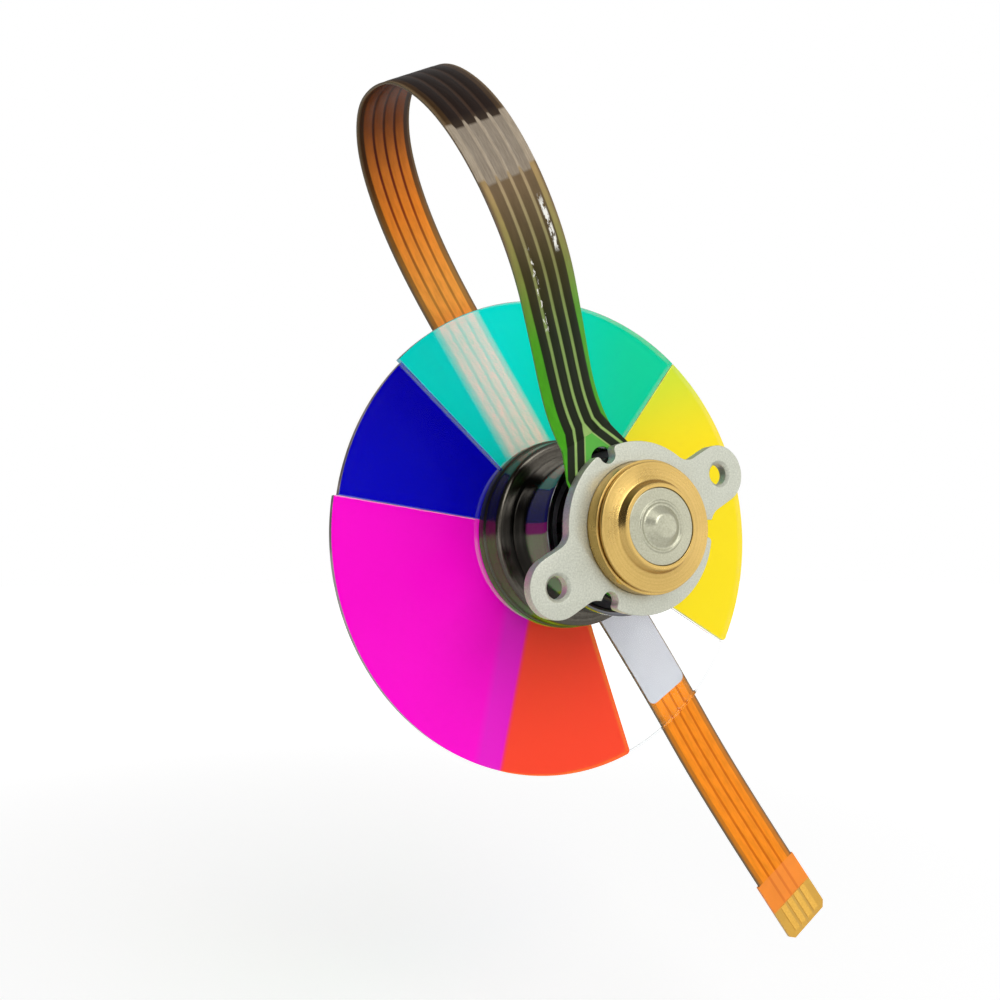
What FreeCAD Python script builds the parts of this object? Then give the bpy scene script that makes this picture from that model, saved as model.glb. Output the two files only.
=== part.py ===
import FreeCAD, Part
import math
import os
import Sketcher
from FreeCAD import Placement, Rotation, Vector

# Colour wheel of a projector: dichroic glass panes on a small brushless motor with a flex cable.
# The spin axis is Y, the motor's back faces -Y, and the origin is at the middle of the two
# ear holes, on the back face of the mounting bracket. All lengths are in millimetres.

SIZES = {
    # wheel
    "wheel_diameter": 44.0,
    "glass_thickness": 0.7,
    "glass_bore": 14.0,
    "glass_back": 12.5,
    "pane_gap_angle": 0.25,
    "blue_inset": 0.35,
    "yellow_angle": -29.3,
    "cyan_angle": 53.1,
    "blue_angle": 138.1,
    "red_angle": 172.7,
    "clear_angle": 289.6,
    # hub and front ring
    "hub_rim_diameter": 17.4,
    "hub_waist_diameter": 16.9,
    "hub_rim_width": 0.8,
    "hub_depth": 3.0,
    "hub_edge_bevel": 0.4,
    "hub_nose_diameter": 4.4,
    "running_gap": 0.3,
    "front_ring_inset": 0.2,
    "front_ring_bore": 9.0,
    "front_ring_thickness": 0.8,
    "balance_groove_width": 1.2,
    "balance_groove_depth": 0.3,
    # rotor cup, magnet and shaft
    "cup_diameter": 14.4,
    "cup_wall": 0.5,
    "cup_mouth": 3.0,
    "mouth_gap": 0.5,
    "cup_bevel": 0.5,
    "magnet_wall": 0.65,
    "magnet_length": 4.6,
    "shaft_diameter": 2.0,
    "shaft_end": 1.2,
    "shaft_bevel": 0.3,
    "washer_diameter": 3.4,
    "washer_thickness": 0.2,
    "washer_groove_depth": 0.2,
    # bracket
    "plate_diameter": 14.0,
    "plate_thickness": 1.0,
    "ear_pitch": 18.5,
    "ear_angle": 30.7,
    "ear_width": 4.9,
    "ear_hole": 1.8,
    "ear_chamfer": 0.25,
    "ear_root_radius": 1.5,
    "notch_width": 1.5,
    "notch_reach": 6.65,
    "notch_corner": 0.35,
    "plate_bore": 8.0,
    "seat_depth": 0.1,
    "relief_width": 0.1,
    "relief_depth": 0.05,
    # bearing housing and its cap
    "flange_diameter": 10.7,
    "flange_face_diameter": 10.3,
    "flange_height": 1.7,
    "flange_groove": 0.15,
    "flange_lip": 0.3,
    "boss_base_diameter": 7.5,
    "boss_top_diameter": 6.8,
    "boss_height": 0.65,
    "tube_diameter": 5.6,
    "tube_end": 7.9,
    "bearing_diameter": 3.8,
    "bearing_end_gap": 0.3,
    "cap_diameter": 6.1,
    "cap_thickness": 0.5,
    "cap_recess": 0.05,
    "ridge_diameter": 3.9,
    "ridge_width": 0.3,
    "ridge_height": 0.08,
    "bump_base_diameter": 3.3,
    "bump_top_diameter": 1.9,
    "bump_height": 0.62,
    "fit_clearance": 0.02,
    # stator
    "core_start": 4.2,
    "core_length": 3.2,
    "core_air_gap": 0.25,
    "yoke_wall": 0.8,
    "tooth_width": 1.1,
    "tooth_tip_width": 2.9,
    "tooth_tip_depth": 0.5,
    "liner_thickness": 0.3,
    "skirt_diameter": 12.4,
    "skirt_wall": 0.4,
    "coil_wall": 0.45,
    "coil_clearance": 0.03,
    # flex cable
    "flex_width": 5.2,
    "flex_thickness": 0.2,
    "flex_disc_diameter": 12.0,
    "flex_reach": 8.6,
    "flex_shift": 0.4,
    "flex_window": 2.2,
    "window_reach": 6.25,
    "neck_straight": 0.2,
    "flare_length": 2.2,
    "flare_width": 6.9,
    "flare_radius": 0.6,
    "joint_length": 0.9,
    "joint_width": 0.6,
    "joint_height": 0.35,
    "joint_angle": 16.0,
    "tip_width": 5.5,
    "tip_length": 6.2,
    "tip_thickness": 0.3,
    "tip_chamfer": 0.5,
    "contact_length": 3.2,
    "contact_width": 0.65,
    "contact_pitch": 1.0,
    "contact_thickness": 0.05,
}

TEETH = 9
NOTCHES = 3
TRACES = 4

# Middle line of the free cable, from the motor to the contact tip: the distance from the
# spin axis along the cable's exit, the depth along Y and the shift to the cable's side.
ROUTE = [
    (8.6, 1.1, -0.4),
    (10.2, 1.1, -0.4),
    (12.9, 0.3, -0.4),
    (17.0, -1.9, -0.5),
    (22.3, -4.4, -0.55),
    (28.2, -5.3, -0.6),
    (33.5, -4.4, -0.55),
    (37.6, -1.1, -0.15),
    (39.3, 2.9, 0.2),
    (39.6, 7.2, 0.5),
    (37.4, 11.0, 0.7),
    (33.2, 13.6, 1.0),
    (27.6, 15.0, 1.3),
    (20.0, 15.5, 1.8),
    (8.0, 15.3, 2.4),
    (-6.0, 15.5, 2.9),
    (-18.5, 14.4, 3.4),
    (-31.0, 13.6, 3.5),
    (-41.4, 11.3, 3.5),
]


class Size:
    """A length or angle with its number and the sheet expression that gives it."""

    def __init__(self, number, text):
        self.number = number
        self.text = text

    def joined(self, other, sign, number):
        return Size(number, f"({self.text} {sign} {text_of(other)})")

    def __add__(self, other):
        return self.joined(other, "+", self.number + number_of(other))

    def __sub__(self, other):
        return self.joined(other, "-", self.number - number_of(other))

    def __mul__(self, other):
        return self.joined(other, "*", self.number * number_of(other))

    def __truediv__(self, other):
        return self.joined(other, "/", self.number / number_of(other))

    def __neg__(self):
        return Size(-self.number, f"(0 - {self.text})")


def number_of(size):
    return size.number if isinstance(size, Size) else float(size)


def text_of(size):
    return size.text if isinstance(size, Size) else repr(size)


def fill_sheet(doc):
    """Writes the sizes into a sheet and returns them as bound sizes by name."""
    sheet = doc.addObject("Spreadsheet::Sheet", "Sizes")
    for row, (name, value) in enumerate(SIZES.items(), start=1):
        sheet.set(f"A{row}", name)
        sheet.set(f"B{row}", repr(value))
        sheet.setAlias(f"B{row}", name)
    doc.recompute()
    return {name: Size(value, f"Sizes.{name}") for name, value in SIZES.items()}


def bind(thing, path, size):
    """Ties a property to a size, or sets it where the size is a plain number."""
    if isinstance(size, Size):
        thing.setExpression(path, size.text)


# Sketches and features

def origin_plane(body, role):
    return next(f for f in body.Origin.OriginFeatures if f.Role == role)


def new_body(doc, label):
    body = doc.addObject("PartDesign::Body", label)
    body.Label = label
    body.AllowCompound = True
    return body


def new_sketch(body, name, role, offset=None):
    """A sketch on one of the body's own planes, moved along the plane's normal by offset."""
    sketch = body.newObject("Sketcher::SketchObject", name)
    sketch.AttachmentSupport = (origin_plane(body, role), [""])
    sketch.MapMode = "FlatFace"
    if offset is not None:
        sketch.AttachmentOffset = Placement(Vector(0, 0, number_of(offset)), Rotation())
        bind(sketch, "AttachmentOffset.Base.z", offset)
    return sketch


def hold(sketch, kind, index, position, size):
    """Fixes one coordinate of a point in a sketch to a size."""
    if not isinstance(size, Size) and size == 0:
        axis = -2 if kind == "DistanceX" else -1
        sketch.addConstraint(Sketcher.Constraint("PointOnObject", index, position, axis))
        return
    held = sketch.addConstraint(
        Sketcher.Constraint(kind, -1, 1, index, position, number_of(size)))
    bind(sketch, f"Constraints[{held}]", size)


def draw_outline(sketch, corners):
    """A closed outline of straight lines through corners, each a pair of sizes."""
    count = len(corners)
    first = sketch.GeometryCount
    points = [Vector(number_of(x), number_of(y), 0) for x, y in corners]
    for index in range(count):
        sketch.addGeometry(Part.LineSegment(points[index], points[(index + 1) % count]), False)
    for index in range(count):
        after = first + (index + 1) % count
        sketch.addConstraint(Sketcher.Constraint("Coincident", first + index, 2, after, 1))
    for index, (x, y) in enumerate(corners):
        hold(sketch, "DistanceX", first + index, 1, x)
        hold(sketch, "DistanceY", first + index, 1, y)


def draw_circle(sketch, x, y, diameter):
    """A circle with its centre at a pair of sizes."""
    middle = Vector(number_of(x), number_of(y), 0)
    circle = Part.Circle(middle, Vector(0, 0, 1), number_of(diameter) / 2)
    index = sketch.addGeometry(circle, False)
    hold(sketch, "DistanceX", index, 3, x)
    hold(sketch, "DistanceY", index, 3, y)
    held = sketch.addConstraint(Sketcher.Constraint("Diameter", index, number_of(diameter)))
    bind(sketch, f"Constraints[{held}]", diameter)


def draw_box(sketch, left, right, low, high):
    draw_outline(sketch, [(left, low), (right, low), (right, high), (left, high)])


def pad(body, name, sketch, length, backward=False):
    feature = body.newObject("PartDesign::Pad", name)
    feature.Profile = sketch
    feature.Length = number_of(length)
    bind(feature, "Length", length)
    feature.Reversed = backward
    return feature


def pocket(body, name, sketch, depth):
    feature = body.newObject("PartDesign::Pocket", name)
    feature.Profile = sketch
    feature.Length = number_of(depth)
    bind(feature, "Length", depth)
    return feature


def pocket_through(body, name, sketch):
    feature = body.newObject("PartDesign::Pocket", name)
    feature.Profile = sketch
    feature.Type = "ThroughAll"
    feature.Midplane = True
    return feature


def around_axis(body, name, features, copies, angle=360.0):
    """Repeats features about the spin axis."""
    pattern = body.newObject("PartDesign::PolarPattern", name)
    pattern.Originals = features
    pattern.Axis = (origin_plane(body, "Y_Axis"), [""])
    pattern.Angle = angle
    pattern.Occurrences = copies
    body.Tip = pattern
    return pattern


def turned(doc, label, corners):
    """A part turned on a lathe: the outline is given as pairs of radius and depth along Y."""
    body = new_body(doc, label)
    sketch = new_sketch(body, f"{label}_profile", "XY_Plane")
    draw_outline(sketch, corners)
    revolution = body.newObject("PartDesign::Revolution", f"{label}_turn")
    revolution.Profile = sketch
    revolution.ReferenceAxis = (sketch, ["V_Axis"])
    revolution.Angle = 360.0
    return body


def edges_where(body, test):
    """Names of the edges of a body's tip whose middle and direction pass a test."""
    found = []
    for index, edge in enumerate(body.Tip.Shape.Edges, start=1):
        if test(edge):
            found.append(f"Edge{index}")
    return found


def round_edges(body, name, test, radius):
    base = body.Tip
    names = edges_where(body, test)
    feature = body.newObject("PartDesign::Fillet", name)
    feature.Base = (base, names)
    feature.Radius = number_of(radius)
    bind(feature, "Radius", radius)
    return feature


def bevel_edges(body, name, test, width):
    base = body.Tip
    names = edges_where(body, test)
    feature = body.newObject("PartDesign::Chamfer", name)
    feature.Base = (base, names)
    feature.Size = number_of(width)
    bind(feature, "Size", width)
    return feature


def ring_edge(radius, depth):
    """A test for a full circle about the spin axis with a given radius and depth."""
    def test(edge):
        curve = edge.Curve
        return (
            isinstance(curve, Part.Circle)
            and abs(curve.Radius - number_of(radius)) < 0.01
            and abs(curve.Center.y - number_of(depth)) < 0.01
            and math.hypot(curve.Center.x, curve.Center.z) < 0.01
        )
    return test


# The turning wheel

def glass_pane(doc, z, label, start, end, radius):
    """One annular sector of coated glass, between two angles from +X towards +Z."""
    span = end - start - z["pane_gap_angle"]
    turn = start + z["pane_gap_angle"] / 2
    outer = doc.addObject("Part::Cylinder", f"{label}_blank")
    bind(outer, "Radius", radius)
    bind(outer, "Height", z["glass_thickness"])
    bind(outer, "Angle", span)
    inner = doc.addObject("Part::Cylinder", f"{label}_bore")
    bind(inner, "Radius", z["glass_bore"] / 2)
    bind(inner, "Height", z["glass_thickness"])
    pane = doc.addObject("Part::Cut", label)
    pane.Base = outer
    pane.Tool = inner
    pane.Label = label
    doc.recompute()
    # The sector starts at +X and turns towards +Z once its own Z axis lies along -Y.
    upright = Rotation(Vector(1, 0, 0), 90)
    pane.Placement = Placement(
        Vector(0, number_of(z["glass_back"] + z["glass_thickness"]), 0),
        Rotation(Vector(0, 1, 0), -number_of(turn)).multiply(upright))
    bind(pane, "Placement.Base.y", z["glass_back"] + z["glass_thickness"])
    return pane


def glass_panes(doc, z):
    radius = z["wheel_diameter"] / 2
    starts = [
        ("segment_yellow", z["yellow_angle"], radius),
        ("segment_cyan", z["cyan_angle"], radius),
        ("segment_blue", z["blue_angle"], radius - z["blue_inset"]),
        ("segment_magenta_red", z["red_angle"], radius),
        ("segment_clear", z["clear_angle"], radius),
    ]
    panes = []
    for index, (label, start, reach) in enumerate(starts):
        last = index == len(starts) - 1
        end = starts[0][1] + 360 if last else starts[index + 1][1]
        panes.append(glass_pane(doc, z, label, start, end, reach))
    return panes


def wheel_hub(doc, z):
    """Turned hub: a nose pressed on the shaft, a wide rim for the glass and a spigot in its bore."""
    seat = z["glass_back"]
    rim = z["hub_rim_diameter"] / 2
    waist = z["hub_waist_diameter"] / 2
    spigot = z["glass_bore"] / 2 - z["fit_clearance"]
    back = seat - z["hub_depth"]
    nose = z["hub_nose_diameter"] / 2
    nose_end = z["tube_end"] + z["running_gap"]
    bore = z["shaft_diameter"] / 2
    body = turned(doc, "wheel_hub", [
        (bore, nose_end),
        (nose, nose_end),
        (nose, back),
        (waist, back),
        (waist, seat - z["hub_rim_width"] - (rim - waist)),
        (rim, seat - z["hub_rim_width"]),
        (rim, seat),
        (spigot, seat),
        (spigot, z["glass_back"] + z["glass_thickness"]),
        (bore, z["glass_back"] + z["glass_thickness"]),
    ])
    doc.recompute()
    bevel_edges(body, "hub_back_bevel", ring_edge(waist, back), z["hub_edge_bevel"])
    return body


def front_ring(doc, z):
    """Clamping ring on the far side of the glass, with a groove for balancing putty."""
    outer = z["hub_rim_diameter"] / 2 - z["front_ring_inset"]
    inner = z["front_ring_bore"] / 2
    low = z["glass_back"] + z["glass_thickness"]
    high = low + z["front_ring_thickness"]
    groove_out = z["glass_bore"] / 2
    groove_in = groove_out - z["balance_groove_width"]
    floor = high - z["balance_groove_depth"]
    return turned(doc, "front_ring", [
        (inner, low), (outer, low), (outer, high), (groove_out, high),
        (groove_out, floor), (groove_in, floor), (groove_in, high), (inner, high)])


def rotor_cup(doc, z):
    """Steel cup that carries the magnet: open towards the bracket, closed against the hub."""
    outer = z["cup_diameter"] / 2
    inner = outer - z["cup_wall"]
    top = z["glass_back"] - z["hub_depth"]
    hole = z["hub_nose_diameter"] / 2 + z["fit_clearance"]
    body = turned(doc, "rotor_cup", [
        (inner, z["cup_mouth"]),
        (outer, z["cup_mouth"]),
        (outer, top),
        (hole, top),
        (hole, top - z["cup_wall"]),
        (inner, top - z["cup_wall"]),
    ])
    doc.recompute()
    bevel_edges(body, "cup_shoulder", ring_edge(outer, top), z["cup_bevel"])
    return body


def magnet_ring(doc, z):
    outer = z["cup_diameter"] / 2 - z["cup_wall"] - z["fit_clearance"]
    inner = outer - z["magnet_wall"]
    low = z["core_start"] + z["core_length"] / 2 - z["magnet_length"] / 2
    return turned(doc, "magnet_ring", [
        (inner, low), (outer, low),
        (outer, low + z["magnet_length"]), (inner, low + z["magnet_length"])])


def rotor_shaft(doc, z):
    """Hardened shaft: a bevelled tip on the thrust pad, a washer groove, and a flush far end."""
    radius = z["shaft_diameter"] / 2
    core = radius - z["washer_groove_depth"]
    far = z["glass_back"] + z["glass_thickness"]
    washer = washer_depth(z)
    body = turned(doc, "rotor_shaft", [
        (0, -z["shaft_end"]),
        (radius, -z["shaft_end"]),
        (radius, washer),
        (core, washer),
        (core, washer + z["washer_thickness"]),
        (radius, washer + z["washer_thickness"]),
        (radius, far),
        (0, far),
    ])
    doc.recompute()
    bevel_edges(body, "shaft_tip", ring_edge(radius, -z["shaft_end"]), z["shaft_bevel"])
    return body


def washer_depth(z):
    """Where the retaining washer's back face lies: close under the sleeve bearing."""
    return -z["bearing_end_gap"] - z["washer_thickness"] * 2


def retaining_washer(doc, z):
    inner = z["shaft_diameter"] / 2 - z["washer_groove_depth"]
    outer = z["washer_diameter"] / 2
    low = washer_depth(z)
    return turned(doc, "retaining_washer", [
        (inner, low), (outer, low),
        (outer, low + z["washer_thickness"]), (inner, low + z["washer_thickness"])])


# The fixed motor

def mounting_bracket(doc, z):
    """Stamped plate with two ears, three rim notches and the bore for the bearing housing."""
    body = new_body(doc, "mounting_bracket")
    disc = new_sketch(body, "plate_disc", "XZ_Plane")
    draw_circle(disc, 0, 0, z["plate_diameter"])
    pad(body, "plate_pad", disc, z["plate_thickness"], backward=True)
    ears = new_sketch(body, "ear_bar", "XZ_Plane")
    draw_box(ears, -z["ear_pitch"] / 2, z["ear_pitch"] / 2, -z["ear_width"] / 2, z["ear_width"] / 2)
    pad(body, "ear_bar_pad", ears, z["plate_thickness"], backward=True)
    for side, name in ((1, "ear_end_right"), (-1, "ear_end_left")):
        end = new_sketch(body, name, "XZ_Plane")
        draw_circle(end, z["ear_pitch"] / 2 * side, 0, z["ear_width"])
        pad(body, f"{name}_pad", end, z["plate_thickness"], backward=True)
    doc.recompute()
    reach = math.sqrt(SIZES["plate_diameter"] ** 2 - SIZES["ear_width"] ** 2) / 2

    def at_root(edge):
        middle = edge.CenterOfMass
        upright = abs(edge.BoundBox.YLength - SIZES["plate_thickness"]) < 0.01
        return (upright and edge.BoundBox.XLength < 0.01
                and abs(abs(middle.x) - reach) < 0.05
                and abs(abs(middle.z) - SIZES["ear_width"] / 2) < 0.05)
    round_edges(body, "ear_roots", at_root, z["ear_root_radius"])
    bore = new_sketch(body, "plate_bore_sketch", "XZ_Plane")
    draw_circle(bore, 0, 0, z["plate_bore"])
    for side in (1, -1):
        draw_circle(bore, z["ear_pitch"] / 2 * side, 0, z["ear_hole"])
    pocket_through(body, "bores", bore)
    seat = new_sketch(body, "flange_seat_sketch", "XZ_Plane")
    draw_circle(seat, 0, 0, z["flange_diameter"] + z["fit_clearance"] * 2)
    pocket(body, "flange_seat", seat, z["seat_depth"])
    notch = new_sketch(body, "notch_sketch", "XZ_Plane")
    outside = z["plate_diameter"] / 2 + z["notch_width"]
    draw_box(notch, -z["notch_width"] / 2, z["notch_width"] / 2, z["notch_reach"], outside)
    slot = pocket_through(body, "notch_slot", notch)
    floor = new_sketch(body, "notch_floor_sketch", "XZ_Plane")
    draw_circle(floor, 0, z["notch_reach"], z["notch_width"])
    end = pocket_through(body, "notch_floor", floor)
    around_axis(body, "notches", [slot, end], NOTCHES)
    doc.recompute()

    def at_mouth(edge):
        middle = edge.CenterOfMass
        upright = abs(edge.BoundBox.YLength - SIZES["plate_thickness"]) < 0.01
        on_rim = abs(math.hypot(middle.x, middle.z) - SIZES["plate_diameter"] / 2) < 0.01
        turn = (math.degrees(math.atan2(middle.z, middle.x)) - 90) % (360 / NOTCHES)
        near = min(turn, 360 / NOTCHES - turn) < 10
        return upright and on_rim and near
    round_edges(body, "notch_corners", at_mouth, z["notch_corner"])
    doc.recompute()

    def hole_rim(edge):
        curve = edge.Curve
        return (isinstance(curve, Part.Circle)
                and abs(curve.Radius - SIZES["ear_hole"] / 2) < 0.01
                and abs(curve.Center.y) < 0.01
                and abs(curve.Center.x) > SIZES["plate_diameter"] / 2)
    bevel_edges(body, "hole_rims", hole_rim, z["ear_chamfer"])
    body.Placement = Placement(Vector(), Rotation(Vector(0, 1, 0), -SIZES["ear_angle"]))
    return body


def bearing_housing(doc, z):
    """Brass housing: a stepped flange and boss outside the plate, and a long tube inside."""
    face = -z["flange_height"]
    top = face - z["boss_height"]
    cap_floor = top + z["cap_recess"] + z["cap_thickness"]
    face_radius = z["flange_face_diameter"] / 2
    base_radius = z["flange_diameter"] / 2
    groove = face_radius - z["flange_groove"]
    lip = face + z["flange_lip"]
    through = z["plate_bore"] / 2 - z["fit_clearance"]
    tube = z["tube_diameter"] / 2
    bearing = z["bearing_diameter"] / 2 + z["fit_clearance"]
    relief = base_radius - z["relief_depth"]
    cap = z["cap_diameter"] / 2 + z["fit_clearance"]
    body = turned(doc, "bearing_housing", [
        (cap, top),
        (z["boss_top_diameter"] / 2, top),
        (z["boss_base_diameter"] / 2, face),
        (face_radius, face),
        (face_radius, lip),
        (groove, lip),
        (groove, lip + z["flange_groove"]),
        (base_radius, lip + z["flange_groove"]),
        (base_radius, -z["relief_width"]),
        (relief, -z["relief_width"]),
        (relief, z["seat_depth"]),
        (through, z["seat_depth"]),
        (through, z["plate_thickness"]),
        (tube, z["plate_thickness"]),
        (tube, z["tube_end"]),
        (bearing, z["tube_end"]),
        (bearing, cap_floor),
        (cap, cap_floor),
    ])
    return body


def sleeve_bearing(doc, z):
    inner = z["shaft_diameter"] / 2 + z["fit_clearance"]
    outer = z["bearing_diameter"] / 2
    low = -z["bearing_end_gap"]
    high = z["tube_end"] - z["bearing_end_gap"]
    body = turned(doc, "sleeve_bearing", [
        (inner, low), (outer, low), (outer, high), (inner, high)])
    return body


def thrust_pad(doc, z):
    """Low-friction disc that the shaft's tip turns on, backed by the end cap."""
    outer = z["bearing_diameter"] / 2
    low = cap_inside(z)
    return turned(doc, "thrust_pad", [
        (0, low), (outer, low), (outer, -z["shaft_end"]), (0, -z["shaft_end"])])


def cap_inside(z):
    return z["cap_recess"] + z["cap_thickness"] - z["flange_height"] - z["boss_height"]


def end_cap(doc, z):
    """Stamped steel cap with a raised ring and a flat-topped bump."""
    inside = cap_inside(z)
    outside = inside - z["cap_thickness"]
    ridge = z["ridge_diameter"] / 2
    half = z["ridge_width"] / 2
    crest = outside - z["ridge_height"]
    bump = z["bump_base_diameter"] / 2
    return turned(doc, "end_cap", [
        (0, inside),
        (z["cap_diameter"] / 2, inside),
        (z["cap_diameter"] / 2, outside),
        (ridge + half, outside),
        (ridge + half / 2, crest),
        (ridge - half / 2, crest),
        (ridge - half, outside),
        (bump, outside),
        (z["bump_top_diameter"] / 2, outside - z["bump_height"]),
        (0, outside - z["bump_height"]),
    ])


def core_tip(z):
    """Radius of the stator's tooth tips, one air gap inside the magnet."""
    return (z["cup_diameter"] / 2 - z["cup_wall"] - z["fit_clearance"]
            - z["magnet_wall"] - z["core_air_gap"])


def stator_blank(body, z, name, low, length, extra):
    """A yoke ring with nine T-shaped teeth; extra widens the teeth to line the slots."""
    inner = z["tube_diameter"] / 2 + z["fit_clearance"]
    yoke = new_sketch(body, f"{name}_yoke", "XZ_Plane", -low)
    draw_circle(yoke, 0, 0, (inner + z["yoke_wall"]) * 2)
    draw_circle(yoke, 0, 0, inner * 2)
    pad(body, f"{name}_yoke_pad", yoke, length, backward=True)
    tooth = new_sketch(body, f"{name}_tooth", "XZ_Plane", -low)
    half = z["tooth_width"] / 2 + extra
    wide = z["tooth_tip_width"] / 2
    root = inner + z["yoke_wall"] / 2
    neck = core_tip(z) - z["tooth_tip_depth"] - extra
    tip = core_tip(z) - z["tooth_tip_depth"] / 2
    draw_outline(tooth, [
        (root, -half), (neck, -half), (neck, -wide), (tip, -wide),
        (core_tip(z), 0),
        (tip, wide), (neck, wide), (neck, half), (root, half)])
    arm = pad(body, f"{name}_tooth_pad", tooth, length, backward=True)
    around_axis(body, f"{name}_teeth", [arm], TEETH)


def stator_core(doc, z):
    body = new_body(doc, "stator_core")
    stator_blank(body, z, "core", z["core_start"], z["core_length"], 0.0)
    return body


def slot_liner(doc, z, label, low):
    """Moulded liner that lies on one end of the stator core and carries the windings."""
    body = new_body(doc, label)
    stator_blank(body, z, label, low, z["liner_thickness"], z["coil_clearance"])
    return body


def rear_liner(doc, z):
    """Rear slot liner with a hollow skirt that covers the solder joints on the flex disc."""
    body = slot_liner(doc, z, "slot_liner_rear", z["core_start"] - z["liner_thickness"])
    foot = z["plate_thickness"] + z["flex_thickness"]
    shoulder = z["cup_mouth"] - z["mouth_gap"]
    roof = shoulder - z["skirt_wall"]
    outer = z["skirt_diameter"] / 2
    tube = z["tube_diameter"] / 2 + z["fit_clearance"]
    face = z["core_start"] - z["liner_thickness"]
    sketch = new_sketch(body, "skirt_profile", "XY_Plane")
    draw_outline(sketch, [
        (tube, roof),
        (outer - z["skirt_wall"], roof),
        (outer - z["skirt_wall"], foot),
        (outer, foot),
        (outer, shoulder),
        (tube + z["yoke_wall"], shoulder),
        (tube + z["yoke_wall"], face),
        (tube, face),
    ])
    turn = body.newObject("PartDesign::Revolution", "skirt_turn")
    turn.Profile = sketch
    turn.ReferenceAxis = (sketch, ["V_Axis"])
    turn.Angle = 360.0
    return body


def phase_coils(doc, z, label, phase):
    """Three coils of one phase, wound round every third tooth."""
    body = new_body(doc, label)
    start = z["tube_diameter"] / 2 + z["fit_clearance"] + z["yoke_wall"] + z["coil_clearance"]
    end = core_tip(z) - z["tooth_tip_depth"] - z["coil_clearance"] * 2
    inner = z["tooth_width"] / 2 + z["coil_clearance"] * 2
    outer = inner + z["coil_wall"]
    low = z["core_start"] - z["liner_thickness"] - z["coil_clearance"]
    high = z["core_start"] + z["core_length"] + z["liner_thickness"] + z["coil_clearance"]
    sketch = new_sketch(body, f"{label}_ring", "YZ_Plane", start)
    draw_box(sketch, low - z["coil_wall"], high + z["coil_wall"], -outer, outer)
    draw_box(sketch, low, high, -inner, inner)
    ring = pad(body, f"{label}_pad", sketch, end - start)
    around_axis(body, f"{label}_pattern", [ring], TEETH // 3)
    body.Placement = Placement(Vector(), Rotation(Vector(0, 1, 0), phase * 360 / TEETH))
    return body


# The flex cable

def exit_rotation():
    """Turns +X to the cable's exit direction, square to the line through the ears."""
    return Rotation(Vector(0, 1, 0), -(SIZES["ear_angle"] + 90))


def flex_base(doc, z):
    """Flex disc glued inside the bracket, with a flared neck and a window at the notch."""
    body = new_body(doc, "flex_base")
    level = z["plate_thickness"]
    disc = new_sketch(body, "flex_disc", "XZ_Plane", -level)
    draw_circle(disc, 0, 0, z["flex_disc_diameter"])
    pad(body, "flex_disc_pad", disc, z["flex_thickness"], backward=True)
    neck = new_sketch(body, "flex_neck", "XZ_Plane", -level)
    left = z["flex_shift"] - z["flex_width"] / 2
    right = z["flex_shift"] + z["flex_width"] / 2
    foot_left = z["flex_shift"] - z["flare_width"] / 2
    foot_right = z["flex_shift"] + z["flare_width"] / 2
    root = z["flex_disc_diameter"] / 4
    flare_start = z["flex_reach"] - z["neck_straight"]
    flare_end = flare_start - z["flare_length"]
    draw_outline(neck, [
        (root, foot_left), (flare_end, foot_left), (flare_start, left),
        (z["flex_reach"], left), (z["flex_reach"], right),
        (flare_start, right), (flare_end, foot_right), (root, foot_right)])
    pad(body, "flex_neck_pad", neck, z["flex_thickness"], backward=True)
    doc.recompute()

    def at_flare(edge):
        upright = abs(edge.BoundBox.YLength - SIZES["flex_thickness"]) < 0.01
        middle = edge.CenterOfMass
        corners = (number_of(flare_start), number_of(flare_end))
        return upright and any(abs(middle.x - corner) < 0.01 for corner in corners)
    round_edges(body, "flare_rounds", at_flare, z["flare_radius"])
    holes = new_sketch(body, "flex_holes", "XZ_Plane", -level)
    draw_circle(holes, 0, 0, z["tube_diameter"] + z["fit_clearance"] * 2)
    draw_circle(holes, z["window_reach"], 0, z["flex_window"])
    pocket_through(body, "flex_openings", holes)
    body.Placement = Placement(Vector(), exit_rotation())
    return body


def solder_joints(doc, z):
    """Four solder joints on the flex disc, one for each winding lead, under the skirt."""
    body = new_body(doc, "solder_joints")
    level = z["plate_thickness"] + z["flex_thickness"]
    middle = (z["tube_diameter"] / 2 + z["skirt_diameter"] / 2 - z["skirt_wall"]) / 2
    sketch = new_sketch(body, "solder_sketch", "XZ_Plane", -level)
    draw_box(sketch, middle - z["joint_length"] / 2, middle + z["joint_length"] / 2,
             -z["joint_width"] / 2, z["joint_width"] / 2)
    joint = pad(body, "solder_pad", sketch, z["joint_height"], backward=True)
    around_axis(body, "solder_pattern", [joint], TRACES, SIZES["joint_angle"] * (TRACES - 1))
    body.Placement = Placement(Vector(), Rotation(Vector(0, 1, 0), 180 - SIZES["ear_angle"]))
    return body


def route_point(along, depth, across):
    """A point of the cable's route in the part's own frame."""
    return exit_rotation().multVec(Vector(along, depth, -across))


def side_direction():
    """Direction across the flat cable."""
    return exit_rotation().multVec(Vector(0, 0, -1))


def tangent_path(points):
    """Straight runs through the points joined by tangent arcs, with the arcs' radii."""
    edges = []
    radii = []
    start = points[0]
    for before, corner, after in zip(points, points[1:], points[2:]):
        back = (before - corner).normalize()
        ahead = (after - corner).normalize()
        half_turn = (math.pi - back.getAngle(ahead)) / 2
        cut = 0.45 * min((before - corner).Length, (after - corner).Length)
        radius = cut / math.tan(half_turn)
        enter = corner + back * cut
        leave = corner + ahead * cut
        inward = (back + ahead).normalize()
        middle = corner + inward * (radius / math.cos(half_turn) - radius)
        edges.append(Part.LineSegment(start, enter).toShape())
        edges.append(Part.Arc(enter, middle, leave).toShape())
        radii.append(radius)
        start = leave
    edges.append(Part.LineSegment(start, points[-1]).toShape())
    return Part.Wire(edges), radii


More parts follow.
